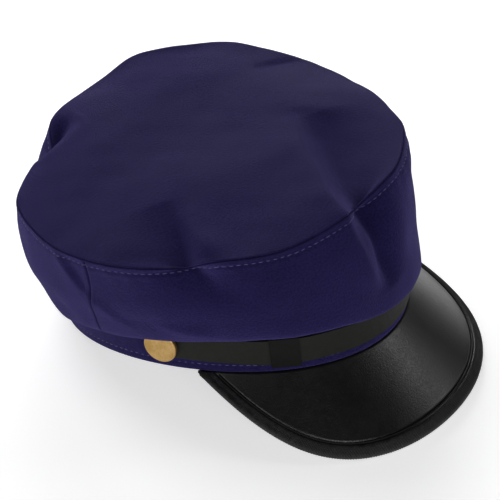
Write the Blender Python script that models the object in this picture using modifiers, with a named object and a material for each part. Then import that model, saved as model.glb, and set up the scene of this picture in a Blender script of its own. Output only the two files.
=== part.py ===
"""Peaked sailor cap: soft round crown, head band, bent peak with a bound edge, strap and buttons.

The cap is drawn in its own frame: the band's rim lies at z = 0, the peak points to -Y and
angles run from the front (0) round the wearer's right (positive, towards -X) to the back (180).
At the end the whole cap is tilted to rest on its peak and the back of its band.
"""
import math

import bmesh
import bpy
import numpy as np
from mathutils import Matrix, Vector

# Driving sizes, in metres and degrees
HEAD_GIRTH = 0.580
HEAD_LENGTH_OVER_WIDTH = 1.187
BACK_WIDENING = 0.020
BAND_HEIGHT = 0.036
BAND_WALL = 0.0025
RIM_ARCH = 0.009

CLOTH = 0.0015
SEAM_GAP = 0.0003

CROWN_WIDTH = 0.202
CROWN_LENGTH = 0.213
CROWN_HEIGHT = 0.091
CROWN_SET_BACK = 0.004
CROWN_DIP_FRONT = 0.0066
CROWN_DIP_RIGHT = 0.0102
CROWN_WARP = 0.0042
CROWN_WARP_ANGLE = 34.5
DOME_RISE = 0.006
OVERHANG = 0.016
SIDE_SEAM_TOP_ANGLE = 97.0
SIDE_SEAM_LOW_ANGLE = 106.5

PEAK_REACH = 0.054
PEAK_HALF_ANGLE = 75.6
PEAK_DROOP = 46.0
PEAK_WALL = 0.002
BINDING_WIDTH = 0.0072
BINDING_WALL = 0.001
BINDING_CORNER = 0.0008

STRAP_WIDTH = 0.0148
STRAP_WALL = 0.0014
STRAP_HEIGHT_FRONT = 0.0053
STRAP_HEIGHT_ENDS = 0.008
STRAP_PAST_BUTTON = 0.004
STRAP_CORNER = 0.0022
KEEPER_ANGLE = 48.0
KEEPER_WIDTH = 0.0165
KEEPER_WALL = 0.0009
KEEPER_ROOM = 0.0017
KEEPER_EASE = 0.020

BUTTON_ANGLE = 85.0
BUTTON_RADIUS = 0.0097
BUTTON_THICKNESS = 0.003
BUTTON_EDGE = 0.0011
SHANK_RADIUS = 0.002

FOLD_WIDTH = 0.012
FOLD_DEPTH = 0.006
FOLD_END_FADE = 0.65
REST_PRESS = 0.0006
STEEPEST_REST = 35.0

# The top seam keeps its line where folds cross it: how firmly, and how far to either side
SEAM_HOLD = 0.65
SEAM_HOLD_REACH = 0.12

# The peak's last line stops just short of the point where its length runs out, and its
# binding narrows there to this share of that line
PEAK_END = 0.962
BINDING_END_SHARE = 0.62

# How the peak's length falls away and its slope eases from the middle (0) to its ends (1):
# each number goes with the power of the place named in its column
PEAK_POWERS = (0, 2, 4, 8)
PEAK_LENGTH_SHARES = (1.0, 0.389, -0.853, -0.536)
PEAK_DROOP_SHARES = (1.0, -0.052, -0.133, 0.0)
PEAK_TURN_SHARES = (0.4275, -0.0911, 0.0, 0.0)

# Small steps used to find a surface's direction, in degrees, in shares and along the peak
TURN_STEP = 0.5
SHARE_STEP = 0.002
PEAK_STEP = 0.004

# How much closer together the peak's lines lie at its ends: evenly at 0 degrees, most at 90
PEAK_SPREAD = 76.0

# Nearest the top's middle that a direction is taken
MIDDLE_SHARE = 0.03

# The least cosine between a wall and its mitred seam corner, so that the corner stays short
SHARPEST_MITRE = 0.5

# How finely the rest tilt is found, and the angle over which an edge is shown sharp
TILT_HALVINGS = 40
SHARP_ANGLE = 40.0

# How finely each piece is drawn
BAND_STEPS = 72
CROWN_STEPS = 84
PEAK_STEPS = 44
STRAP_STEPS = 44
TOP_RINGS = (0.0, 0.16, 0.32, 0.47, 0.60, 0.71, 0.80, 0.88, 0.95, 1.0)
SIDE_ROWS = (0.0, 0.07, 0.15, 0.24, 0.34, 0.45, 0.56, 0.65, 0.72, 0.78, 0.86, 1.0)
PEAK_ROWS = (0.0, 0.25, 0.5, 0.75, 1.0)

# Places down the crown's side wall: how far down each lies (0 is the top seam, 1 the band)
SIDE_PLACES = {"seam": 0.0, "upper": 0.24, "lower": 0.54, "hang": 0.80, "tuck": 0.91, "band": 1.0}

# How high the two bellies stand between the lowest fold and the seam, how high the tuck stands
# between the fold and the band's top, and how far out it stays, as a share of the fold's
UPPER_RISE = 0.70
LOWER_RISE = 0.33
TUCK_RISE = 0.45
TUCK_OUT = 0.30

# Crown side wall by angle: how far it stands out beyond the band at its upper belly, lower
# belly and lowest fold, in shares of OVERHANG, and the height of that fold in shares of
# BAND_HEIGHT.
SIDE_COLUMNS = ("angle", "upper", "lower", "hang", "hang_height")
SIDE_SECTIONS = (
    (-180, 0.88, 0.80, 0.34, 0.31),
    (-135, 1.00, 0.88, 0.40, 0.38),
    (-105, 1.06, 0.92, 0.50, 0.60),
    (-85, 1.06, 0.92, 0.55, 0.66),
    (-60, 0.92, 0.84, 0.53, 0.62),
    (-27, 0.58, 0.52, 0.42, 0.42),
    (-12, 0.47, 0.50, 0.44, 0.57),
    (0, 0.45, 0.53, 0.47, 0.63),
    (15, 0.50, 0.60, 0.50, 0.65),
    (30, 0.63, 0.72, 0.53, 0.69),
    (60, 0.94, 0.91, 0.56, 0.72),
    (90, 1.06, 0.94, 0.56, 0.63),
    (105, 1.06, 0.91, 0.47, 0.57),
    (120, 1.06, 0.89, 0.40, 0.47),
    (135, 1.02, 0.86, 0.31, 0.31),
)

# The top seam by angle: how far it stands out, as a share of the crown's half width or length,
# and how far it rises, in shares of DOME_RISE.
SEAM_COLUMNS = ("angle", "reach", "rise")
SEAM_SECTIONS = (
    (-180, 0.940, -0.33),
    (-160, 0.953, -0.46),
    (-140, 0.986, 0.12),
    (-120, 0.999, 0.24),
    (-100, 0.992, 0.03),
    (-80, 0.984, -0.24),
    (-60, 0.993, -0.21),
    (-40, 0.999, -0.21),
    (-20, 1.006, -0.09),
    (0, 0.983, 0.14),
    (20, 0.988, -0.07),
    (40, 1.003, -0.25),
    (60, 0.998, 0.07),
    (80, 1.007, 0.06),
    (100, 1.008, 0.13),
    (120, 1.010, -0.02),
    (140, 0.990, -0.18),
    (160, 0.904, -0.41),
)

# Folds and dents, each straight from one place on the crown to another: an angle and a share
# (0 is the middle of the top, 1 the top seam, 2 the band). Width is in shares of FOLD_WIDTH,
# push is in shares of FOLD_DEPTH, negative for a dent and positive for a ridge.
FOLD_COLUMNS = ("name", "angle_1", "share_1", "angle_2", "share_2", "width", "push")
FOLDS = (
    ("front_right_dent", 93, 0.42, 70, 0.98, 1.05, -1.70),
    ("front_right_ridge", 73, 0.55, 61, 0.95, 0.55, 0.55),
    ("front_dent", -46, 0.60, 6, 1.00, 1.05, -2.20),
    ("front_ridge", -24, 0.50, 15, 1.02, 0.60, 0.80),
    ("front_side_dent", 10, 1.03, 9, 1.60, 0.65, -1.60),
    ("front_side_ridge", 16, 1.03, 16, 1.50, 0.50, 0.40),
    ("right_side_dent", 66, 1.04, 59, 1.38, 0.70, -0.50),
    ("side_crease", 109, 1.22, 108, 1.66, 0.45, -0.55),
    ("side_back_ridge", 124, 1.06, 116, 1.45, 0.65, 0.35),
    ("side_swag", 98, 1.64, 76, 1.70, 0.60, 0.30),
    ("left_tuck", -100, 0.84, -84, 0.88, 0.45, -0.55),
    ("back_dent", 177, 0.84, 166, 1.25, 0.70, -1.80),
    ("back_ridge", 153, 0.94, 182, 0.84, 0.45, 0.55),
)


def column(columns, rows, name):
    """One named column of a table, as an array."""
    place = columns.index(name)
    return np.array([row[place] for row in rows], float)


def smooth_between(knots, values, at):
    """Smooth curve through values at rising knots; each value may be a number or a point."""
    knots = np.asarray(knots, float)
    values = np.asarray(values, float)
    slopes = np.gradient(values, knots, axis=0)
    at = np.clip(np.asarray(at, float), knots[0], knots[-1])
    left = np.clip(np.searchsorted(knots, at, side="right") - 1, 0, len(knots) - 2)
    width = knots[left + 1] - knots[left]
    share = (at - knots[left]) / width
    extra = (1,) * (values.ndim - 1)
    share = share.reshape(share.shape + extra)
    width = width.reshape(width.shape + extra)
    value_0 = values[left]
    value_1 = values[left + 1]
    slope_0 = slopes[left] * width
    slope_1 = slopes[left + 1] * width
    square = share ** 2
    cube = share ** 3
    return (value_0 * (2 * cube - 3 * square + 1) + slope_0 * (cube - 2 * square + share)
            + value_1 * (3 * square - 2 * cube) + slope_1 * (cube - square))


def round_value(columns, rows, name, angle):
    """A column of a table of sections at any angle, closed smoothly round the cap."""
    knots = column(columns, rows, "angle")
    values = column(columns, rows, name)
    knots = np.concatenate([knots - 360, knots, knots + 360])
    values = np.tile(values, 3)
    return smooth_between(knots, values, (np.asarray(angle, float) + 180) % 360 - 180)


def side_value(name, angle):
    return round_value(SIDE_COLUMNS, SIDE_SECTIONS, name, angle)


def seam_value(name, angle):
    return round_value(SEAM_COLUMNS, SEAM_SECTIONS, name, angle)


def unit(vectors):
    """Vectors of length one."""
    return vectors / np.linalg.norm(vectors, axis=-1, keepdims=True)


# The band's rim

def rim_half_sizes():
    """Half width and half length of the oval whose girth is HEAD_GIRTH."""
    turn = np.linspace(0, 2 * math.pi, 721)
    oval = np.stack([np.sin(turn), HEAD_LENGTH_OVER_WIDTH * np.cos(turn)], 1)
    girth = np.linalg.norm(np.diff(oval, axis=0), axis=1).sum()
    half_width = HEAD_GIRTH / girth
    return half_width, half_width * HEAD_LENGTH_OVER_WIDTH


HALF_WIDTH, HALF_LENGTH = rim_half_sizes()


def rim_point(angle, out=0.0, up=0.0):
    """Point beside the band: out from its outer face and up from its arched rim."""
    turn = np.radians(np.asarray(angle, float))
    out = np.asarray(out, float)
    up = np.asarray(up, float)
    widening = 1 - BACK_WIDENING * np.cos(turn)
    x = -HALF_WIDTH * np.sin(turn) * widening
    y = -HALF_LENGTH * np.cos(turn)
    z = RIM_ARCH * np.sin(turn) ** 2
    away = rim_outward(angle)
    return np.stack(np.broadcast_arrays(x + away[..., 0] * out, y + away[..., 1] * out, z + up), -1)


def rim_outward(angle):
    """Level direction straight out from the band."""
    turn = np.radians(np.asarray(angle, float))
    x = -HALF_LENGTH * np.sin(turn)
    y = -HALF_WIDTH * np.cos(turn)
    return unit(np.stack([x, y, np.zeros_like(x)], -1))


# The crown

def seam_rise(angle, share):
    """How the top leaves its level plane towards the seam."""
    turn = np.radians(angle)
    tilt = -CROWN_DIP_FRONT * np.cos(turn) - CROWN_DIP_RIGHT * np.sin(turn)
    warp = CROWN_WARP * np.cos(2 * (turn - math.radians(CROWN_WARP_ANGLE)))
    wave = seam_value("rise", angle) * DOME_RISE
    return tilt * share + warp * share ** 2 + wave * share ** 4


def smooth_top(angle, share):
    """The undented top panel: share runs from 0 in the middle to 1 at the seam."""
    turn = np.radians(np.asarray(angle, float))
    share = np.asarray(share, float)
    reach = share * (1 + (seam_value("reach", angle) - 1) * share ** 2)
    x = -0.5 * CROWN_WIDTH * np.sin(turn) * reach
    y = CROWN_SET_BACK - 0.5 * CROWN_LENGTH * np.cos(turn) * reach
    z = CROWN_HEIGHT + seam_rise(angle, share) + DOME_RISE * (1 - share ** 3)
    return np.stack(np.broadcast_arrays(x, y, z), -1)


def smooth_side(angle, share):
    """The undented side wall: share runs from 0 at the top seam to 1 at the band."""
    angle = np.asarray(angle, float)
    seam = smooth_top(angle, np.ones_like(angle))
    hang_height = side_value("hang_height", angle) * BAND_HEIGHT
    hang_out = side_value("hang", angle) * OVERHANG
    drop = seam[..., 2] - rim_point(angle)[..., 2] - hang_height
    upper_out = side_value("upper", angle) * OVERHANG
    lower_out = side_value("lower", angle) * OVERHANG
    upper = rim_point(angle, upper_out, hang_height + UPPER_RISE * drop)
    lower = rim_point(angle, lower_out, hang_height + LOWER_RISE * drop)
    hang = rim_point(angle, hang_out, hang_height)
    tuck_up = hang_height + TUCK_RISE * (BAND_HEIGHT - hang_height)
    tuck = rim_point(angle, TUCK_OUT * hang_out, tuck_up)
    band_top = rim_point(angle, 0.0, BAND_HEIGHT + SEAM_GAP)
    path = np.stack([seam, upper, lower, hang, tuck, band_top]).reshape(len(SIDE_PLACES), -1, 3)
    shares = np.broadcast_to(np.asarray(share, float), angle.shape).reshape(-1)
    knots = list(SIDE_PLACES.values())
    points = [smooth_between(knots, path[:, i], shares[i]) for i in range(len(shares))]
    return np.array(points).reshape(angle.shape + (3,))


def smooth_crown(angle, share):
    """Any place on the undented crown: share 0 to 1 on the top, 1 to 2 down the side."""
    if share <= 1:
        return smooth_top(angle, share)
    return smooth_side(angle, share - 1)


CROWN_CORE = np.array([0.0, CROWN_SET_BACK, 0.5 * CROWN_HEIGHT])


def fold_ends(angle_column, share_column):
    """Where the folds start or end on the undented crown, one point for each fold."""
    angles = column(FOLD_COLUMNS, FOLDS, angle_column)
    shares = column(FOLD_COLUMNS, FOLDS, share_column)
    return np.array([smooth_crown(angle, share) for angle, share in zip(angles, shares)])


FOLD_STARTS = fold_ends("angle_1", "share_1")
FOLD_RUNS = fold_ends("angle_2", "share_2") - FOLD_STARTS
FOLD_WIDTHS = column(FOLD_COLUMNS, FOLDS, "width") * FOLD_WIDTH
FOLD_PUSHES = column(FOLD_COLUMNS, FOLDS, "push") * FOLD_DEPTH


def folded(points, from_seam):
    """Points of the smooth crown pushed in at the dents and out at the ridges."""
    push = np.zeros(points.shape[:-1])
    for start, run, width, depth in zip(FOLD_STARTS, FOLD_RUNS, FOLD_WIDTHS, FOLD_PUSHES):
        along = np.clip(((points - start) @ run) / (run @ run), 0, 1)
        gap = np.linalg.norm(points - start - along[..., None] * run, axis=-1)
        fade = 1 - FOLD_END_FADE * (2 * along - 1) ** 2
        push += depth * fade * np.exp(-(gap / width) ** 2)
    push *= 1 - SEAM_HOLD * np.exp(-(from_seam / SEAM_HOLD_REACH) ** 2)
    return points + unit(points - CROWN_CORE) * push[..., None]


def top_outer(angle, share):
    return folded(smooth_top(angle, share), 1 - np.asarray(share, float))


def side_outer(angle, share):
    return folded(smooth_side(angle, share), np.asarray(share, float))


def outward_normal(surface, angle, share, nearest_share=0.0):
    """Unit normal of a crown surface, pointing out of the cap."""
    share = np.maximum(share, nearest_share)
    low = np.clip(share - SHARE_STEP, 0, 1)
    high = np.clip(share + SHARE_STEP, 0, 1)
    round_cap = surface(angle + TURN_STEP, share) - surface(angle - TURN_STEP, share)
    down_wall = surface(angle, high) - surface(angle, low)
    return unit(np.cross(round_cap, down_wall))


def seam_corner(angle):
    """At the top seam: the way into the wall, its mitred depth, and the way from side to top."""
    ones = np.ones_like(angle)
    zeros = np.zeros_like(angle)
    top_normal = outward_normal(top_outer, angle, ones)
    side_normal = outward_normal(side_outer, angle, zeros)
    inward = -unit(top_normal + side_normal)
    lean = np.maximum(-np.sum(inward * top_normal, -1), SHARPEST_MITRE)
    to_top = top_outer(angle, ones - SHARE_STEP) - top_outer(angle, ones)
    to_top -= np.sum(to_top * inward, -1)[..., None] * inward
    return inward, CLOTH / lean, unit(to_top)


# Meshes

def object_from(name, points, faces):
    """A mesh object with its faces turned outwards."""
    mesh = bpy.data.meshes.new(name)
    mesh.from_pydata([tuple(point) for point in points], [], faces)
    shell = bmesh.new()
    shell.from_mesh(mesh)
    bmesh.ops.remove_doubles(shell, verts=shell.verts, dist=1e-6)
    bmesh.ops.recalc_face_normals(shell, faces=shell.faces)
    shell.to_mesh(mesh)
    shell.free()
    piece = bpy.data.objects.new(name, mesh)
    PARTS.objects.link(piece)
    piece.parent = CAP_FRAME
    return piece


def grid_faces(rows, columns, wrap, start=0, flip=False):
    """Quads of a grid of points; wrap joins the last row to the first."""
    faces = []
    for i in range(rows if wrap else rows - 1):
        j = (i + 1) % rows
        for k in range(columns - 1):
            quad = [start + i * columns + k, start + j * columns + k,
                    start + j * columns + k + 1, start + i * columns + k + 1]
            faces.append(quad[::-1] if flip else quad)
    return faces


def wall_between(name, outer, inner, wrap):
    """A closed wall between two grids of equal shape (rows round the cap, columns down it)."""
    rows, columns = outer.shape[:2]
    count = rows * columns
    points = np.concatenate([outer.reshape(-1, 3), inner.reshape(-1, 3)])
    faces = grid_faces(rows, columns, wrap)
    faces += grid_faces(rows, columns, wrap, start=count, flip=True)
    for i in range(rows if wrap else rows - 1):
        j = (i + 1) % rows
        for k in (0, columns - 1):
            faces.append([i * columns + k, j * columns + k,
                          count + j * columns + k, count + i * columns + k])
    if not wrap:
        for i in (0, rows - 1):
            for k in range(columns - 1):
                faces.append([i * columns + k, i * columns + k + 1,
                              count + i * columns + k + 1, count + i * columns + k])
    return object_from(name, points, faces)


def open_sheet(name, grid, wrap_rows=False, wrap_columns=False):
    """An open surface through a grid of points, to be given its thickness by Solidify."""
    rows, columns = grid.shape[:2]
    if wrap_columns:
        grid = np.concatenate([grid, grid[:, :1]], 1)
        columns += 1
    return object_from(name, grid.reshape(-1, 3), grid_faces(rows, columns, wrap_rows))


def thicken(piece, thickness, inward=False):
    """Give an open surface its wall; outward is along the faces' normals."""
    wall = piece.modifiers.new("wall", "SOLIDIFY")
    wall.thickness = thickness
    wall.offset = -1.0 if inward else 1.0
    wall.use_even_offset = True
    return wall


def face_away(piece, middle):
    """Turn an open surface so that its faces look away from a line of points inside it."""
    mesh = piece.data
    score = 0.0
    for face in mesh.polygons:
        gaps = np.linalg.norm(middle - np.array(face.center), axis=1)
        nearest = middle[int(np.argmin(gaps))]
        score += face.area * float(np.dot(np.array(face.center) - nearest, face.normal))
    if score < 0:
        mesh.flip_normals()


def cut_with(piece, cutter):
    """Take the cutter's shape out of the piece."""
    cut = piece.modifiers.new("cut", "BOOLEAN")
    cut.operation = "DIFFERENCE"
    cut.solver = "EXACT"
    cut.object = cutter


def move_to(collection, piece):
    """Put a fresh primitive in one collection only."""
    for other in list(piece.users_collection):
        other.objects.unlink(piece)
    collection.objects.link(piece)


def make_cutter(cutter):
    """Keep a helper shape out of the finished cap."""
    move_to(CUTTERS, cutter)
    cutter.hide_render = True
    cutter.display_type = "WIRE"


def finish(piece, name, colour, roughness, metallic=0.0):
    """Round shading and the piece's own material."""
    piece.data.shade_smooth()
    piece.data.set_sharp_from_angle(angle=math.radians(SHARP_ANGLE))
    material = bpy.data.materials.new(name)
    material.use_nodes = True
    shader = material.node_tree.nodes["Principled BSDF"]
    shader.inputs["Base Color"].default_value = (*colour, 1.0)
    shader.inputs["Roughness"].default_value = roughness
    shader.inputs["Metallic"].default_value = metallic
    piece.data.materials.clear()
    piece.data.materials.append(material)


NAVY = (0.018, 0.014, 0.062)
BLACK = (0.012, 0.012, 0.012)
STRAP_BLACK = (0.020, 0.021, 0.018)
GILT = (0.58, 0.37, 0.11)


# Pieces

def make_crown_top():
    angles = np.linspace(-180, 180, CROWN_STEPS, endpoint=False)
    shares = np.array(TOP_RINGS)
    angle, share = np.meshgrid(angles, shares, indexing="ij")
    outer = top_outer(angle, share)
    inner = outer - CLOTH * outward_normal(top_outer, angle, share, MIDDLE_SHARE)
    inward, depth, to_top = seam_corner(angles)
    outer[:, -1] += 0.5 * SEAM_GAP * to_top
    inner[:, -1] = outer[:, -1] + inward * depth[:, None]
    middle = top_outer(np.zeros(1), np.zeros(1))[0]
    outer[:, 0] = middle
    inner[:, 0] = middle - np.array([0.0, 0.0, CLOTH])
    rings = len(shares)
    count = CROWN_STEPS * rings
    points = np.concatenate([outer.reshape(-1, 3), inner.reshape(-1, 3)])
    faces = grid_faces(CROWN_STEPS, rings, True)
    faces += grid_faces(CROWN_STEPS, rings, True, start=count, flip=True)
    for i in range(CROWN_STEPS):
        j = (i + 1) % CROWN_STEPS
        edge_i = i * rings + rings - 1
        edge_j = j * rings + rings - 1
        faces.append([edge_i, edge_j, count + edge_j, count + edge_i])
    piece = object_from("crown_top", points, faces)
    finish(piece, "top_cloth", NAVY, 0.85)


def make_crown_side(name, from_back):
    """One of the two side panels, between the upright seams."""
    half_gap = math.degrees(0.5 * SEAM_GAP / HALF_WIDTH)
    shares = np.array(SIDE_ROWS)
    seam_angles = SIDE_SEAM_TOP_ANGLE + (SIDE_SEAM_LOW_ANGLE - SIDE_SEAM_TOP_ANGLE) * shares
    if from_back:
        start, end = seam_angles + half_gap, 360 - seam_angles - half_gap
    else:
        start, end = half_gap - seam_angles, seam_angles - half_gap
    span = 360 - 2 * SIDE_SEAM_LOW_ANGLE if from_back else 2 * SIDE_SEAM_LOW_ANGLE
    steps = np.linspace(0, 1, round(CROWN_STEPS * span / 360) + 1)
    angle = start[None, :] + (end - start)[None, :] * steps[:, None]
    share = np.broadcast_to(shares, angle.shape)
    outer = side_outer(angle, share)
    inner = outer - CLOTH * outward_normal(side_outer, angle, share)
    inward, depth, to_top = seam_corner(angle[:, 0])
    outer[:, 0] -= 0.5 * SEAM_GAP * to_top
    inner[:, 0] = outer[:, 0] + inward * depth[:, None]
    outer[:, -1] = rim_point(angle[:, -1], 0.0, BAND_HEIGHT + SEAM_GAP)
    inner[:, -1] = rim_point(angle[:, -1], CLOTH, BAND_HEIGHT + SEAM_GAP)
    piece = wall_between(name, outer, inner, wrap=False)
    finish(piece, name + "_cloth", NAVY, 0.85)


def make_band():
    bpy.ops.mesh.primitive_cylinder_add(vertices=BAND_STEPS, end_fill_type="NOTHING")
    piece = bpy.context.object
    piece.name = "head_band"
    move_to(PARTS, piece)
    piece.parent = CAP_FRAME
    for vertex in piece.data.vertices:
        angle = math.degrees(math.atan2(-vertex.co.x, -vertex.co.y))
        up = BAND_HEIGHT if vertex.co.z > 0 else 0.0
        vertex.co = Vector(rim_point(angle, 0.0, up))
    thicken(piece, BAND_WALL, inward=True)
    finish(piece, "band_cloth", NAVY, 0.85)
    return piece


# The peak: straight lines run from the rim to its outer edge, and t is -1 and 1 at its ends

def peak_frame(t):
    """Start on the rim, direction and length of each line of the peak."""
    t = np.asarray(t, float)
    angle = t * PEAK_HALF_ANGLE
    powers = t[..., None] ** np.array(PEAK_POWERS)
    length = PEAK_REACH * (powers @ np.array(PEAK_LENGTH_SHARES))
    droop = np.radians(PEAK_DROOP) * (powers @ np.array(PEAK_DROOP_SHARES))
    turn = np.radians(angle) * (powers @ np.array(PEAK_TURN_SHARES))
    level = np.cos(droop)
    way = np.stack([-np.sin(turn) * level, -np.cos(turn) * level, -np.sin(droop)], -1)
    start = rim_point(angle, 0.0, -SEAM_GAP)
    return start, way, length


def peak_surface(t, share):
    start, way, length = peak_frame(t)
    return start + way * (length * share)[..., None]


def peak_normal(t, share):
    across = peak_surface(t + PEAK_STEP, share) - peak_surface(t - PEAK_STEP, share)
    _, way, _ = peak_frame(t)
    normal = unit(np.cross(way, across))
    return normal * np.sign(normal[..., 2:3])


def depth_inside_edge(t):
    """How deep the peak is at each line, measured square to its outer edge."""
    one = np.ones_like(t)
    edge = unit(peak_surface(t + PEAK_STEP, one) - peak_surface(t - PEAK_STEP, one))
    _, way, length = peak_frame(t)
    return length * np.linalg.norm(np.cross(edge, way), axis=-1)


def share_inside_edge(t, distance):
    """Share of each line that lies so far inside the edge; less far at the peak's narrow ends."""
    depth = depth_inside_edge(t)
    narrowing = np.minimum(1.0, BINDING_END_SHARE * depth / BINDING_WIDTH)
    return 1 - distance * narrowing / depth


def binding_surface(t, distance, offset):
    """Place of the binding: so far inside the outer edge, so far above the peak's top face."""
    share = share_inside_edge(t, distance)
    return peak_surface(t, share) + peak_normal(t, share) * offset


def peak_steps():
    """Places along the peak, closer together towards its ends."""
    spread = np.radians(PEAK_SPREAD) * np.linspace(-1, 1, PEAK_STEPS + 1)
    return PEAK_END * np.sin(spread) / math.sin(math.radians(PEAK_SPREAD))


def make_peak():
    t = peak_steps()
    last = share_inside_edge(t, 2 * BINDING_WALL)
    rows = [rim_point(t * PEAK_HALF_ANGLE, -BAND_WALL, -SEAM_GAP)]
    for part in PEAK_ROWS:
        rows.append(peak_surface(t, last * part))
    grid = np.stack(rows, 1)
    piece = open_sheet("peak", grid)
    if sum(face.normal.z * face.area for face in piece.data.polygons) > 0:
        piece.data.flip_normals()
    thicken(piece, PEAK_WALL)
    finish(piece, "peak_leather", BLACK, 0.35)


def make_binding():
    t = peak_steps()
    top = SEAM_GAP
    low = -PEAK_WALL - SEAM_GAP
    section = (
        (BINDING_WIDTH, top),
        (BINDING_WALL + BINDING_CORNER, top),
        (BINDING_WALL, top - BINDING_CORNER),
        (BINDING_WALL, low + BINDING_CORNER),
        (BINDING_WALL + BINDING_CORNER, low),
        (BINDING_WIDTH, low),
    )
    rows = [binding_surface(t, distance, offset) for distance, offset in section]
    piece = open_sheet("peak_binding", np.stack(rows, 1))
    face_away(piece, binding_surface(t, 0.5 * BINDING_WIDTH, -0.5 * PEAK_WALL))
    thicken(piece, BINDING_WALL)
    finish(piece, "binding_leather", BLACK, 0.6)
    return piece


# The strap, its keeper and the buttons

def arc_from_front(angle):
    """Distance along the band's outer face from the front, signed like the angle."""
    steps = np.linspace(0, 180, 181)
    points = rim_point(steps)[:, :2]
    lengths = np.concatenate([[0], np.cumsum(np.linalg.norm(np.diff(points, axis=0), axis=1))])
    return np.sign(angle) * np.interp(np.abs(angle), steps, lengths)


def angle_at_arc(arc):
    """The angle at a distance along the band's outer face from the front."""
    steps = np.linspace(0, 180, 181)
    return np.sign(arc) * np.interp(np.abs(arc), arc_from_front(steps), steps)


def strap_height(angle):
    """Height of the strap's lower edge above the rim."""
    return STRAP_HEIGHT_FRONT + (STRAP_HEIGHT_ENDS - STRAP_HEIGHT_FRONT) * (angle / BUTTON_ANGLE) ** 2


def strap_standoff(angle):
    """Gap from the band to the strap's back: wider where the keeper's back passes between."""
    away = np.abs(arc_from_front(angle) - arc_from_front(KEEPER_ANGLE)) - 0.5 * KEEPER_WIDTH
    blend = np.clip((away - KEEPER_ROOM) / KEEPER_EASE, 0, 1)
    return SEAM_GAP + (KEEPER_WALL + SEAM_GAP) * (1 - blend ** 2 * (3 - 2 * blend))


def make_strap():
    end = float(arc_from_front(BUTTON_ANGLE)) + STRAP_PAST_BUTTON
    angles = angle_at_arc(np.linspace(-end, end, STRAP_STEPS + 1))
    low = strap_height(angles)
    standoff = strap_standoff(angles)
    trim = np.zeros_like(angles)
    trim[[0, -1]] = STRAP_CORNER
    rows = []
    for share in (0.0, 0.5, 1.0):
        up = low + trim + (STRAP_WIDTH - 2 * trim) * share
        rows.append(rim_point(angles, standoff, up))
    piece = open_sheet("strap", np.stack(rows, 1))
    face_away(piece, rim_point(angles, -0.01, 0.5 * BAND_HEIGHT))
    thicken(piece, STRAP_WALL)
    for side in (-1, 1):
        bpy.ops.mesh.primitive_cylinder_add(vertices=16, radius=SHANK_RADIUS + SEAM_GAP,
                                            depth=6 * STRAP_WALL)
        hole = bpy.context.object
        hole.name = "shank_hole"
        hole.parent = CAP_FRAME
        hole.matrix_local = button_place(side)
        make_cutter(hole)
        cut_with(piece, hole)
    finish(piece, "strap_leather", STRAP_BLACK, 0.7)


def make_keeper():
    centre = float(arc_from_front(KEEPER_ANGLE))
    angles = angle_at_arc(centre + KEEPER_WIDTH * np.linspace(-0.5, 0.5, 5))
    low = strap_height(angles) - SEAM_GAP
    high = strap_height(angles) + STRAP_WIDTH + SEAM_GAP
    back = strap_standoff(angles) - SEAM_GAP
    front = strap_standoff(angles) + STRAP_WALL + SEAM_GAP
    corners = ((back, low), (front, low), (front, high), (back, high))
    ring = np.stack([rim_point(angles, out, up) for out, up in corners], 1)
    piece = open_sheet("strap_keeper", ring, wrap_columns=True)
    face_away(piece, rim_point(angles, 0.5 * (back + front), 0.5 * (low + high)))
    thicken(piece, KEEPER_WALL)
    finish(piece, "keeper_leather", STRAP_BLACK, 0.7)


def button_place(side):
    """Where a button's axis leaves the band: its Z runs straight out."""
    angle = side * BUTTON_ANGLE
    up = STRAP_HEIGHT_ENDS + 0.5 * STRAP_WIDTH
    away = Vector(rim_outward(angle))
    turn = away.to_track_quat("Z", "Y").to_matrix().to_4x4()
    return Matrix.Translation(Vector(rim_point(angle, 0.0, up))) @ turn


def make_button(name, side):
    back = 2 * SEAM_GAP + STRAP_WALL
    front = back + BUTTON_THICKNESS
    outline = [(0.0, front)]
    for middle, turns in ((front - BUTTON_EDGE, (90, 45, 0)), (back + BUTTON_EDGE, (0, -45, -90))):
        for turn in turns:
            radius = BUTTON_RADIUS - BUTTON_EDGE * (1 - math.cos(math.radians(turn)))
            outline.append((radius, middle + BUTTON_EDGE * math.sin(math.radians(turn))))
    outline += [(SHANK_RADIUS, back), (SHANK_RADIUS, SEAM_GAP), (0.0, SEAM_GAP)]
    mesh = bpy.data.meshes.new(name)
    points = [(radius, 0.0, height) for radius, height in outline]
    mesh.from_pydata(points, [(i, i + 1) for i in range(len(points) - 1)], [])
    piece = bpy.data.objects.new(name, mesh)
    PARTS.objects.link(piece)
    piece.parent = CAP_FRAME
    piece.matrix_local = button_place(side)
    turn = piece.modifiers.new("turn", "SCREW")
    turn.steps = 24
    turn.render_steps = 24
    turn.screw_offset = 0.0
    turn.use_merge_vertices = True
    turn.merge_threshold = 0.00005
    finish(piece, name + "_gilt", GILT, 0.35, 1.0)


# Resting on the table

def cap_points(pieces):
    """Every point of the finished pieces, in the cap's own frame."""
    bpy.context.view_layer.update()
    graph = bpy.context.evaluated_depsgraph_get()
    points = []
    for piece in pieces:
        shown = piece.evaluated_get(graph)
        mesh = shown.to_mesh()
        points += [shown.matrix_world @ vertex.co for vertex in mesh.vertices]
        shown.to_mesh_clear()
    return np.array(points)


def rest_tilt(points):
    """The tilt at which the peak and the back of the band touch the table together."""
    front = points[points[:, 1] < 0]
    back = points[points[:, 1] >= 0]
    low, high = 0.0, math.radians(STEEPEST_REST)
    for _ in range(TILT_HALVINGS):
        tilt = 0.5 * (low + high)
        upwards = np.array([0.0, -math.sin(tilt), math.cos(tilt)])
        if (front @ upwards).min() < (back @ upwards).min():
            low = tilt
        else:
            high = tilt
    return tilt


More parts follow.
